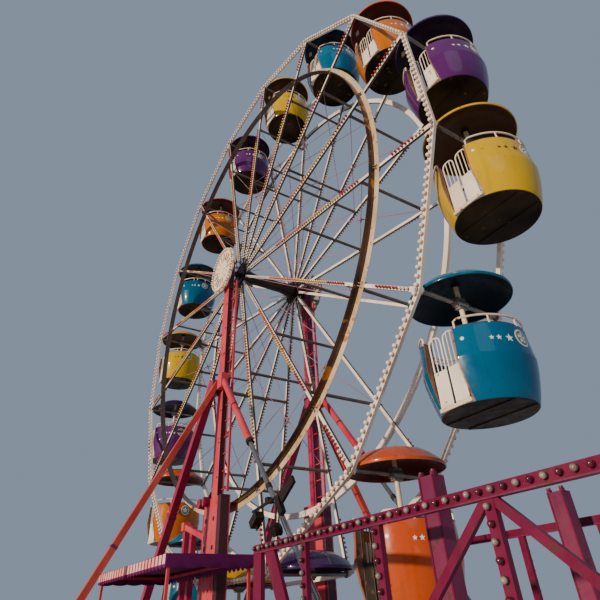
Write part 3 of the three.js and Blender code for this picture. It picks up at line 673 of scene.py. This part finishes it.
def doorway_shape():
    """The door posts: a strip that follows the wall's curve beside each edge, and its return."""
    wall = outer_wall[2:]
    parts = []
    for s in (-1, 1):
        x = np.array([0.298, 0.322])
        across = []
        for lift in (0.006, -0.016):
            r = wall[:, 0] + lift
            across.append(np.stack([np.stack([np.full(len(r), s * v), -np.sqrt(r ** 2 - v ** 2), wall[:, 1]],
                                             1)
                                    for v in x], 1))
        strip = np.stack([across[0][:, 0], across[0][:, 1], across[1][:, 1], across[1][:, 0]], 1)
        count = len(wall)
        sets = [grid_faces(count, 4, False, True), np.array([[0, 1, 2, 3]]),
                np.array([[3, 2, 1, 0]]) + 4 * (count - 1)]
        parts.append((strip.reshape(-1, 3), sets))
        near = np.minimum(0.06 - wall[:, 0], -0.665)
        far = np.full(count, -0.650)
        back = np.stack([np.stack([np.full(count, s * edge), y, wall[:, 1]], 1)
                         for edge, y in ((0.301, near), (0.301, far), (0.307, far), (0.307, near))], 1)
        parts.append((back.reshape(-1, 3), sets))
    return together(*parts)


canopy_rise = np.array([[0.920, 0.100], [0.80, 0.205], [0.70, 0.282], [0.60, 0.340], [0.48, 0.380],
                        [0.34, 0.406], [0.18, 0.424], [0.0, 0.430]])


def canopy_shape():
    """A round hood: the profile climbs as a cone and flattens to the crown, with a rolled lip,
    and is carried right round. Its under side is the same profile 24 mm lower."""
    lip = np.array([[0.903, 0.078], [0.903, 0.052], [0.918, 0.052], [0.922, 0.064]])
    inner_face = canopy_rise[:0:-1] * (0.985, 1.0) - (0.0, 0.024)
    return turned(np.concatenate([inner_face, lip, canopy_rise]), 72, loop=False)


def lining_shape():
    """The dark under side of the canopy: a thin skin that follows the hood just inside it."""
    face = canopy_rise[::-1] * (0.972, 1.0) - (0.0, 0.032)
    return turned(np.concatenate([face, face[::-1] + (0.0, 0.005)]), 56, loop=False)


def wall_radius(z):
    return np.interp(z, outer_wall[:, 1], outer_wall[:, 0])


def on_wall(flat, degree, height, lift):
    """Bends a flat outline (metres right and up) round the tub's wall at an angle and height."""
    z = height + flat[:, 1]
    r = wall_radius(z)
    a = math.radians(degree) + flat[:, 0] / r
    return polar(r + lift, a, z)


def emblem(outline, degree, height, lift=0.003):
    """A thin plate on the wall: a fan of triangles from its middle, and an edge down to the wall."""
    middle = on_wall(np.zeros((1, 2)), degree, height, lift)
    n = len(outline)
    points = np.concatenate([middle, on_wall(outline, degree, height, lift),
                             on_wall(outline, degree, height, -0.003)])
    k = np.arange(n)
    fan = np.stack([np.zeros(n, int), 1 + k, 1 + (k + 1) % n], 1)
    edge = np.stack([1 + k, 1 + n + k, 1 + n + (k + 1) % n, 1 + (k + 1) % n], 1)
    return points, [fan, edge]


def star(size):
    turn = np.arange(10) * np.pi / 5 + np.pi / 2
    reach = np.where(np.arange(10) % 2 == 0, size, size * 0.42)
    return np.stack([reach * np.cos(turn), reach * np.sin(turn)], 1)


def disc(size, count=32):
    turn = np.arange(count) * 2 * np.pi / count
    return np.stack([size * np.cos(turn), size * np.sin(turn)], 1)


stars = together(emblem(star(0.042), -33, -1.10), emblem(star(0.048), -25.5, -1.10),
                 emblem(star(0.070), -14, -1.10))
badge_rim = together(emblem(disc(0.150), 4.5, -1.05), emblem(disc(0.030), -61, -1.05))
badge_face = emblem(disc(0.122), 4.5, -1.05, 0.006)
badge_boss = together(*[emblem(star(0.034) + (0.066 * math.cos(a), 0.066 * math.sin(a)), 4.5, -1.05, 0.009)
                        for a in np.arange(5) * 2 * np.pi / 5 + 0.3])
star_pale = finish("star_pale", (0.78, 0.74, 0.66), (0.62, 0.60, 0.50), (0.4, 0.3, 0.25), 0.4, 0.2, 0.3)
star_dark = finish("star_dark", (0.030, 0.032, 0.018), (0.050, 0.050, 0.026), (0.2, 0.14, 0.04), 0.3, 0.2,
                   0.4, shine=0.15)
badge_green = finish("badge_green", (0.03, 0.12, 0.08), (0.06, 0.18, 0.14), (0.2, 0.2, 0.16), 0.4, 0.2, 0.3,
                     coat=0.5)

floor_low, floor_high = FLOOR_Z - 0.004, FLOOR_Z + 0.045
pan = turned([[0.0, floor_low], [0.728, floor_low], [0.738, floor_low + 0.01], [0.728, floor_high],
              [0.0, floor_high]],
             64, loop=False)
rib_half, rib_z = math.sqrt(0.70 ** 2 - 0.25 ** 2), floor_low - 0.006
ribs = [bars([-rib_half, y, rib_z], [rib_half, y, rib_z], 0.050, 0.014, ALONG_Y) for y in (-0.25, 0.25)]
seam_angle = math.radians(-124)
seam_path = polar(outer_wall[2:, 0] - 0.002, seam_angle, outer_wall[2:, 1])
seam_normal = [-math.sin(seam_angle), math.cos(seam_angle), 0.0]
seat_loop = np.array([[0.440, -1.94], [0.440, -1.53], [0.452, -1.505], [0.480, -1.495], [0.735, -1.505],
                      [0.765, -1.46], [0.828, -1.02], [0.836, -0.99], [0.822, -0.99], [0.73, -1.40],
                      [0.68, -1.94]])
SEAT_STEPS = 25


def seat_shape(side):
    """A moulded bench and back: its profile carried through 110 degrees beside the doorway."""
    low, high = (-50, 60) if side > 0 else (120, 230)
    angle = np.radians(np.linspace(low, high, SEAT_STEPS))[:, None]
    points = polar(seat_loop[::-1, 0], angle, seat_loop[::-1, 1]).reshape(-1, 3)
    n = len(seat_loop)
    k = np.arange(n)
    ends = [k[::-1][None, :], (k + (SEAT_STEPS - 1) * n)[None, :]]
    return points, [grid_faces(SEAT_STEPS, n, False, True), *ends]


# Near-black undersides; the golden-brown patches brought in by the slow noise are painted reflection of warm
# light from the ground.
under_dark_and_reflection = finish("under_dark_and_reflection", (0.008, 0.005, 0.004), (0.060, 0.036, 0.014), (0.12, 0.07, 0.03), 0.4,
                     0.3, 0.34, shine=0.06)
trim_path = polar(0.851, np.radians(np.linspace(-68, 248, 80)), RIM_Z + 0.002)
tub_parts = {
    "wall": (shell_shape(), None),
    "floor_pan": (together(pan, *ribs), under_dark_and_reflection),
    "door_posts": (together(doorway_shape(), pipe(seam_path, 0.006, seam_normal, 6)), door_post_paint),
    "sill": (block((-0.312, -0.756, FLOOR_Z + 0.004), (0.312, -0.650, FLOOR_Z + 0.060)), cream_paint),
    "rails": (together(hoop_shape(1), hoop_shape(-1)), rail_paint),
    "rim_trim": (pipe(trim_path, 0.016, ALONG_Z, 8), rim_rubber),
    "post": (together(rods([0, 0, FLOOR_Z + 0.04], [0, 0, 0.398], 0.045, 20),
                      rods([0, 0, FLOOR_Z + 0.04], [0, 0, FLOOR_Z + 0.07], 0.11, 20)), cream_paint),
    "post_cap": (rods([0, 0, 0.360], [0, 0, 0.399], 0.085, 20), under_black),
    "lining_plate": (bars([-0.50, -0.50, 0.222], [-0.38, -0.62, 0.222], 0.12, 0.006, [-0.56, -0.56, -0.60]),
                     bronze_ring),
    "bearing": (together(rods([0, -0.13, 0], [0, 0.13, 0], 0.086, 24),
                         rods([0, -0.15, 0], [0, -0.13, 0], 0.070, 24),
                         rods([0, 0.13, 0], [0, 0.15, 0], 0.070, 24),
                         block((-0.062, -0.10, -0.11), (0.062, 0.10, 0.11))), axle_steel),
    "seats": (together(seat_shape(1), seat_shape(-1)), cream_paint),
    "canopy": (canopy_shape(), None),
    "canopy_lining": (lining_shape(), None),
    "stars": (stars, None),
    "badge": (together(badge_rim, badge_boss), star_pale),
    "badge_face": (badge_face, badge_green),
    "gate": (together(leaf_shape(-1, GATE_LOW), leaf_shape(1, GATE_LOW)), white_paint),
}
# The tub at the boarding place has hinged leaves. The next one hangs in shade: its dark gate and
# its shell in the deeper orange of the hoods are painted shade.
HINGED, SHADED_TUB = 13, 14
for i in range(TUBS):
    tub = f"tub_{i + 1:02d}"
    hung = CENTRE + outward[i] * AXLE_CIRCLE
    own = {"wall": tub_enamel[i % 4], "canopy": hood_enamel[i % 4], "canopy_lining": lining_enamel[i % 4],
           "stars": star_dark if i % 4 == 0 else star_pale}
    # Painted shade on this tub: a dark gate and a deeper orange shell.
    if i == SHADED_TUB:
        own.update(gate=dark_steel, wall=hood_enamel[2])
    for part, (shape, material) in tub_parts.items():
        if part == "gate" and i == HINGED:
            continue
        stands = {"wall": (f"{tub}_body",), "canopy": (f"{tub}_canopy",)}.get(part, ())
        piece(f"{tub}_{part}_skin" if part == "canopy" else f"{tub}_{part}", (shape[0] + hung, shape[1]),
              own.get(part, material), tub,
              bevel=0.004 if part == "sill" else 0.0, mend=part not in ("gate", "sill"), stands_for=stands)

hung = CENTRE + outward[HINGED] * AXLE_CIRCLE
for word, side in (("left", -1), ("right", 1)):
    points, sets = leaf_shape(side, GATE_LOW)
    piece(f"tub_14_leaf_{word}", (points + hung, sets), white_paint, f"tub_14_gate_{word}",
          stands_for=(f"tub_14_gate_{word}",))

# Signs. A round plate with a scalloped edge and pressed rays stands on a stub in front of each
# bearing. The front one is cream, with coloured rays and a row of lamps; the rear one is grey.
sign_cream = finish("sign_cream", (0.88, 0.80, 0.62), (0.80, 0.68, 0.46), RUST, 0.1, 0.3, 0.36)
sign_grey = finish("sign_grey", (0.20, 0.19, 0.18), (0.28, 0.26, 0.24), RUST, 0.6, 0.5, 0.5)
refinish(sign_cream, "front_sign_disc")
refinish(sign_grey, "rear_sign_disc")
ray_way = round_axle(32, 1.0, 0.0) - CENTRE
for (side, word), material in zip(SIDES, (sign_cream, sign_grey)):
    face, back = CENTRE + ALONG_Y * side * 1.662, side * 1.660
    relief = [bars(face + ray_way[::4] * 0.30, face + ray_way[::4] * 0.60, 0.022, 0.008, ALONG_Y),
              washer(0.26, 0.29, back, side * 1.674, 64), washer(0.62, 0.64, back, side * 1.672, 64),
              turned([[0.0, back], [0.12, back], [0.12, side * 1.680], [0.05, side * 1.692],
                      [0.0, side * 1.692]], 32, CENTRE, "y", False)]
    piece(f"{word}_sign_relief", relief, material, "base", mend=True)
ray_green = finish("ray_green", (0.05, 0.42, 0.26), (0.12, 0.50, 0.34), RUST, 0.2, 0.2, 0.36)
ray_pink = finish("ray_pink", (0.72, 0.10, 0.22), (0.78, 0.24, 0.32), RUST, 0.2, 0.2, 0.36)
front_face = CENTRE - ALONG_Y * 1.661
for name, start, paint in (("ray_green", 1, ray_green), ("ray_pink", 3, ray_pink)):
    way = ray_way[start::4]
    piece(f"front_sign_{name}", bars(front_face + way * 0.32, front_face + way * 0.58, 0.065, 0.006,
                                     ALONG_Y), paint,
          "base")
skirts = lamps("front_sign_white", round_axle(48, 0.705, -1.660), -ALONG_Y, "white", "base", 1.0, 1.15)
piece("front_sign_sockets", skirts, socket_paint, "base")

# Towers. Each is a welded box column that stands in a wide foot, with the wheel's bearing near
# its top and a collar where the braces meet. Red enamel, bleached by the sun; the rear column and
# the collars are in deeper copies of the red, and the channels are near black: painted shade.
pink_paint = finish("pink_paint", (0.46, 0.020, 0.046), (0.56, 0.070, 0.080), (0.20, 0.04, 0.03), 0.45, 0.35,
                    0.36, shine=0.3)
# A deeper copy of the red, painted shade: on the rear column, the left braces, the knobs and the jacks.
magenta_paint = finish("magenta_paint", (0.27, 0.006, 0.045), (0.35, 0.022, 0.070), (0.12, 0.02, 0.02), 0.5,
                       0.35, 0.36, shine=0.3)
# The darkest copy of the red, painted shade: on the collars, the leg joints, the rear channel, the base frame
# and the fence lips.
plum_shade_paint = finish("plum_shade_paint", (0.12, 0.012, 0.050), (0.18, 0.030, 0.075), (0.08, 0.03, 0.025), 0.6, 0.4,
                    0.40, shine=0.25)
# Near black: painted shade in the columns' channels and inside the open feet, and the fences' own dark bulb
# sockets.
shade_and_socket_dark = finish("shade_and_socket_dark", (0.034, 0.005, 0.012), (0.064, 0.010, 0.022), (0.05, 0.02, 0.015), 0.5,
                      0.4, 0.45)
pipe_steel = finish("pipe_steel", (0.26, 0.26, 0.27), (0.38, 0.37, 0.36), (0.14, 0.10, 0.08), 0.35, 0.3,
                    0.18, 0.9)
TOWER_TOP, FOOT_TOP, WINDOW = 11.43, 4.47, (10.88, 11.32)
SHEET, LIP_NEAR, LIP_FAR = 0.025, 0.024, 0.012
towers = ((-1, "front", 0.18, 1.315, 1.490, pink_paint, shade_and_socket_dark),
          (1, "rear", 0.14, 1.370, 1.590, magenta_paint, plum_shade_paint))
for side, word, half, inner, outer, paint, channel_shade in towers:
    near, far = side * inner, side * outer
    column = [block((-half, near, low), (half - SHEET, far, high))
              for low, high in ((FOOT_TOP, WINDOW[0]), (WINDOW[1], TOWER_TOP))]
    column += [block((s * half - (SHEET if s > 0 else 0.0), near, WINDOW[0]),
                     (s * (half - 0.05), far, WINDOW[1]))
               for s in (-1, 1)]
    column += [block((half - SHEET, low, FOOT_TOP), (half, high, TOWER_TOP))
               for low, high in ((near, near + side * LIP_NEAR), (far - side * LIP_FAR, far))]
    piece(f"{word}_column", column, paint, "base", bevel=0.005, stands_for=(f"{word}_tower",))
    # A dark sheet in the channel down the column's +X side is painted shade.
    channel = block((half - 0.0248, near + side * LIP_NEAR, FOOT_TOP),
                    (half - 0.018, far - side * LIP_FAR, TOWER_TOP))
    piece(f"{word}_column_shade_sheet", channel, channel_shade, "base")
    seat, reach = near - side * 0.012, half - 0.055
    housing = [block((-reach, seat, 10.89), (reach, far, 11.00)),
               block((-reach, seat, 11.20), (reach, far, 11.31)),
               block((-reach, seat, 11.00), (-0.092, far, 11.20)),
               block((0.092, seat, 11.00), (reach, far, 11.20))]
    piece(f"{word}_bearing_block", housing, dark_steel, "base", bevel=0.012)
    rim = far + side * (0.045 if side < 0 else -0.002)
    piece(f"{word}_bearing_ring", washer(0.090, 0.150, far - side * 0.004, rim, 32), axle_steel, "base",
          mend=True)
    collar = [block((s * half, near, 7.05), (s * 0.235, far, 7.45)) for s in (-1, 1)]
    piece(f"{word}_collar", collar, plum_shade_paint, "base", bevel=0.008,
          stands_for=(f"{word}_tower",))
    bands = [block((-0.240, near - side * 0.003, z), (0.240, far + side * 0.004, z + 0.055))
             for z in (7.07, 7.375)]
    piece(f"{word}_collar_clamps", bands, under_black, "base", bevel=0.006)
    # The ladder on the column's side: rungs from the column to one outer rail
    rail_y = side * (inner + 0.055)
    rungs = FOOT_TOP + 0.15 + np.arange(15) * 0.41357
    feet = np.stack([np.full(15, half - 0.02), np.full(15, rail_y), rungs], 1)
    tips = feet + ALONG_X * (0.50 - half + 0.02)
    ladder = [bars([0.50, rail_y, FOOT_TOP + 0.06], [0.50, rail_y, 10.50], 0.05, 0.05, ALONG_X),
              rods(feet, tips, 0.014, 10)]
    piece(f"{word}_ladder", ladder, pink_paint, "base", stands_for=(f"{word}_tower",))
knobs = [rods([-0.16, -1.488, z], [-0.16, -1.535, z], 0.035, 14) for z in (10.52, 8.90)]
knobs += [rods([0.13, -1.488, z], [0.13, -1.515, z], 0.020, 6) for z in np.arange(4.9, 10.8, 0.82)]
piece("front_column_knobs", knobs, magenta_paint, "base", bevel=0.004)

# Tower feet. Each is a wide box with a bolted face plate, open on its +X side. The front one
# carries an arm with two jack posts on its left.
# The feet themselves are near black: painted shade of their open insides.
refinish(shade_and_socket_dark, "front_tower_foot", "rear_tower_foot")
front_plate = [block((-0.45, -1.512, 0.505), (0.285, -1.500, 4.468)),
               block((-0.47, -1.516, 0.6), (-0.435, -1.26, 4.44)),
               block((0.435, -1.285, 0.505), (0.452, -1.258, 4.47)),
               block((-0.45, -1.260, 0.505), (0.44, -1.252, 4.468))]
piece("front_foot_plate", front_plate, pink_paint, "base", bevel=0.004)
rear_plate = [block((-0.45, 1.350, 0.505), (0.36, 1.360, 4.468)),
              block((0.435, 1.36, 0.505), (0.452, 1.385, 4.47)),
              block((0.435, 1.595, 0.505), (0.452, 1.62, 4.47)),
              block((-0.45, 1.620, 0.505), (0.44, 1.628, 4.468))]
piece("rear_foot_plate", rear_plate, pink_paint, "base", bevel=0.004)
# Dark discs and a slot on the plates stand for holes: painted shade.
hole_shadows = [rods([x, -1.508, z], [x, -1.5145, z], 0.052, 20) for x, z in ((-0.347, 4.004), (0.106, 4.004),
                                                                     (-0.341, 3.421), (0.107, 3.421))]
hole_shadows.append(block((-0.420, -1.5145, 3.55), (-0.390, -1.508, 3.88)))
hole_shadows += [rods([x, 1.353, 3.36], [x, 1.3475, 3.36], 0.050, 20) for x in (-0.183, 0.242)]
piece("foot_hole_shadows", hole_shadows, under_black, "base")
arm = [bars([-0.44, -1.40, 3.66], [-1.94, -1.40, 4.10], 0.13, 0.13, ALONG_Y),
       block((-2.04, -1.50, 4.00), (-1.86, -1.30, 4.20))]
piece("foot_arm", arm, pink_paint, "base", bevel=0.008)
jacks = [block((x - 0.07, -1.46, 0.503), (x + 0.07, -1.32, top))
         for x, top in ((-0.60, 4.20), (-1.41, 4.02), (-1.90, 4.12))]
jacks += [rods([x, -1.48, 4.42], [x, -1.63, 4.42], 0.11, 24) for x in (-0.62, -0.30)]
jacks += [rods([-0.62, -1.42, 4.18], [-0.62, -1.42, 4.46], 0.035, 16),
          block((-0.64, -1.53, 4.38), (-0.24, -1.49, 4.46))]
piece("foot_jacks", jacks, magenta_paint, "base", bevel=0.006)
small_lamp = [rods([-0.31, -1.40, 4.465], [-0.31, -1.40, 4.58], 0.095, 24),
              rods([-0.31, -1.40, 4.58], [-0.31, -1.40, 4.64], 0.065, 24)]
piece("foot_lamp", small_lamp, dark_steel, "base", bevel=0.004)

# Braces. The left ones are square boxes. The right ones are round sleeves with a galvanised pipe
# that slides out and is clamped. The outriggers stand square to the wheel on ground pads.
TOP_X, TOP_Z, FOOT_X, FOOT_Z, SLEEVE_Z = 0.43, 7.25, 5.85, 0.54, 5.25


def strut(high, low, y, radius, sides=24):
    """A round length of the right brace, between two heights on its line."""
    top, foot = np.array([TOP_X, y, TOP_Z]), np.array([FOOT_X, y, FOOT_Z])
    start, end = [top + (foot - top) * (TOP_Z - z) / (TOP_Z - FOOT_Z) for z in (high, low)]
    return rods(start, end, radius, sides)


for side, word in SIDES:
    y = side * 1.59
    head = block((0.2404, y - 0.10, 7.05), (0.50, y + 0.10, 7.45))
    shoe = block((FOOT_X - 0.19, y - 0.13, 0.5003), (FOOT_X + 0.19, y + 0.10, 0.545))
    piece(f"{word}_strut_sleeve", [strut(TOP_Z, SLEEVE_Z, y, 0.082, 28), head], pink_paint, "base",
          angle=50.0, stands_for=(f"{word}_brace_right",))
    piece(f"{word}_strut_pipe", [strut(SLEEVE_Z + 0.1, 0.55, y, 0.052), shoe], pipe_steel, "base",
          angle=50.0, stands_for=(f"{word}_brace_right",))
    grips = [strut(SLEEVE_Z + 0.02, SLEEVE_Z - 0.05, y, 0.088), strut(4.19, 4.11, y, 0.062),
             strut(6.34, 6.31, y, 0.087)]
    piece(f"{word}_strut_grips", grips, dark_steel, "base", angle=50.0)
    joint = bars([-2.600, y, 4.476], [-2.650, y, 4.414], 0.215, 0.225, ALONG_Y)
    leg_joint = bars([0.0, side * 3.642, 3.417], [0.0, side * 3.668, 3.367], 0.164, 0.149, ALONG_X)
    piece(f"{word}_leg_joints", [joint, leg_joint], plum_shade_paint, "base", bevel=0.006)
salmon_paint = finish("salmon_paint", (0.42, 0.036, 0.028), (0.52, 0.085, 0.060), (0.26, 0.05, 0.04), 0.4,
                      0.3, 0.36, shine=0.3)
# The left braces in the deeper red are painted shade.
refinish(magenta_paint, "front_brace_left", "rear_brace_left")
refinish(salmon_paint, "front_outrigger", "rear_outrigger")

# Floodlights. Three black lamps point at the wheel from a bar that is clamped to the front strut.
LAMP_Y = -1.72
flood = [bars([2.51, LAMP_Y, 3.76], [3.71, LAMP_Y, 3.90], 0.045, 0.045, ALONG_Y),
         block((3.02, -1.735, 3.82), (3.12, -1.60, 3.93)),
         bars([2.69, LAMP_Y, 3.42], [2.60, LAMP_Y, 3.80], 0.03, 0.03, ALONG_Y),
         bars([2.55, LAMP_Y, 3.52], [2.79, LAMP_Y, 3.68], 0.18, 0.15, ALONG_Y),
         bars([3.62, LAMP_Y, 3.80], [4.05, LAMP_Y, 4.06], 0.06, 0.15, ALONG_Y),
         bars([3.49, LAMP_Y, 3.85], [3.66, LAMP_Y, 3.56], 0.09, 0.12, ALONG_Y),
         rods([3.40, -1.66, 3.36], [3.40, -1.78, 3.31], 0.095, 28),
         rods([3.40, -1.64, 3.365], [3.40, -1.67, 3.353], 0.110, 28),
         bars([3.40, LAMP_Y, 3.42], [3.44, LAMP_Y, 3.88], 0.03, 0.03, ALONG_Y)]
piece("floodlights", flood, under_black, "base", bevel=0.006)

# Base, cradle posts and lit fences. Box beams on ground pads; the fences are trusses whose top
# chord and posts carry rows of small red and clear bulbs.
# The base frame in the darkest red is painted shade.
refinish(plum_shade_paint, "base_frame")
# The fences' dark red is painted shade.
fence_shade_paint = finish("fence_shade_paint", (0.110, 0.002, 0.026), (0.155, 0.008, 0.044), (0.08, 0.02, 0.02), 0.5,
                     0.35, 0.36, shine=0.25)
refinish(fence_shade_paint, "front_light_fence", "rear_light_fence")
CRADLE_X, FENCE_END, BULB_STEP = 6.98, 10.08, 0.145
FRONT_FENCE_Y, REAR_FENCE_Y = -2.335, 2.035
flanges = []
for face in (-1.492, 1.268):
    flanges += [block((CRADLE_X + x, face, 0.52), (CRADLE_X + x + 0.026, face + 0.0125, 3.52))
                for x in (-0.135, 0.109)]
    flanges += [rods([CRADLE_X + x, face + 0.05, 3.50], [CRADLE_X + x, face + 0.05, 3.585], 0.034, 16)
                for x in (-0.11, 0.11)]
piece("cradle_flanges", flanges, fence_shade_paint, "base")
post_z = np.arange(1.70, 2.90, BULB_STEP)
fence_sockets = []
fences = (("front_fence", FRONT_FENCE_Y, 3.85, 2.995, (5.26, 6.87, 8.55)),
          ("rear_fence", REAR_FENCE_Y, 4.50, 3.145, (5.65,)))
for label, face, start, height, posts in fences:
    row = np.arange(start, FENCE_END, BULB_STEP)
    across = np.concatenate([row] + [np.full(len(post_z), x) for x in posts])
    high = np.concatenate([np.full(len(row), height)] + [post_z] * len(posts))
    spots = np.stack([across, np.full(len(across), face), high], 1)
    way = ALONG_Y * np.sign(face)
    for colour, word, chosen in (("ruby", "red", spots[::2]), ("clear", "clear", spots[1::2])):
        fence_sockets.append(lamps(f"{label}_{word}", chosen, way, colour, "base", 0.95, 1.25))
piece("fence_sockets", fence_sockets, shade_and_socket_dark, "base")
lips = [block((3.76, -2.350, 2.925), (10.13, -2.265, 2.940)),
        block((4.40, 1.950, 3.075), (10.13, 2.035, 3.090)),
        block((3.76, -2.345, 1.515), (10.07, -2.27, 1.524)),
        block((5.65, 1.955, 1.515), (10.07, 2.03, 1.524))]
piece("fence_lips", lips, plum_shade_paint, "base")

# Platform and awning. Chequered steel decking with steps; over it a cloth roof with a scalloped
# valance is stretched on a tube frame.
deck_plate = finish("deck_plate", (0.30, 0.31, 0.32), (0.42, 0.42, 0.42), (0.2, 0.12, 0.08), 0.5, 0.2, 0.42,
                    0.7, grain=70.0, bump=0.5)
refinish(deck_plate, "loading_platform")
refinish(pink_paint, "awning_frame")
awning_cloth = finish("awning_cloth", (0.085, 0.003, 0.060), (0.13, 0.008, 0.09), (0.06, 0.01, 0.045), 0.0,
                      0.3, 0.8, grain=240.0, bump=0.3, shine=0.15)
stripe_cloth = finish("stripe_cloth", (0.78, 0.22, 0.18), (0.82, 0.48, 0.42), (0.5, 0.2, 0.2), 0.0, 0.3, 0.8,
                      grain=240.0, bump=0.3)


def awning_shape(thickness=0.006):
    """One sheet over the frame: across the middle it is flat with a slight sag between the
    tubes, and past each edge it hangs down as a valance whose hem is a row of half circles,
    drop times (0.72 + 0.28 times the size of the sine along the edge), shallower at the ends."""
    x_half, front, back, top, drop = 2.35, -3.30, -1.58, 3.07, 0.22
    along, across = 73, 41
    u = np.linspace(-1, 1, along)
    v = np.linspace(0, 1, across)
    flat_u = np.concatenate([[-1.0, -1.0], u, [1.0, 1.0]])
    flat_v = np.concatenate([[0.0, 0.0], v, [1.0, 1.0]])
    down_u = np.concatenate([[1.0, 0.5], np.zeros(along), [0.5, 1.0]])
    down_v = np.concatenate([[1.0, 0.5], np.zeros(across), [0.5, 1.0]])
    x = x_half * flat_u[:, None] * np.ones(len(flat_v))
    y = (front + (back - front) * flat_v)[None, :] * np.ones((len(flat_u), 1))
    sag = 0.025 * np.sin(np.pi * flat_v)[None, :] * np.cos(np.pi * 0.5 * flat_u)[:, None]
    hem_u = 0.72 + 0.28 * np.abs(np.sin(x / x_half * 12 * np.pi))
    hem_v = 0.90 + 0.10 * np.abs(np.sin((y - front) / (back - front) * 5 * np.pi))
    hang = np.maximum(down_u[:, None] * hem_v, down_v[None, :] * hem_u)
    z = top - sag - drop * hang
    upper = np.stack([x.ravel(), y.ravel(), z.ravel()], 1)
    rows, columns = x.shape
    inset = np.stack([(-np.sign(flat_u) * (down_u > 0))[:, None] * np.ones(columns) * thickness,
                      (np.sign(0.5 - flat_v) * (down_v > 0))[None, :] * np.ones((rows, 1)) * thickness,
                      -thickness * np.ones((rows, columns))], 2)
    lower = upper + inset.reshape(-1, 3)
    faces = grid_faces(rows, columns)
    count = rows * columns
    index = np.arange(count).reshape(rows, columns)
    edge = np.concatenate([index[0, :-1], index[:-1, -1], index[-1, :0:-1], index[:0:-1, 0]])
    following = np.roll(edge, -1)
    border = np.stack([edge, following, following + count, edge + count], 1)
    return np.concatenate([upper, lower]), [faces, faces[:, ::-1] + count, border]


cover = piece("awning_cloth_sheet", awning_shape(), awning_cloth, "base", angle=60.0,
              mend=True, stands_for=("awning_cover",))
stripes = [block((x, -3.306, 2.915), (x + 0.13, -3.3015, 3.062)) for x in np.arange(-2.33, 2.22, 0.196)]
piece("awning_stripes", stripes, stripe_cloth, "base")
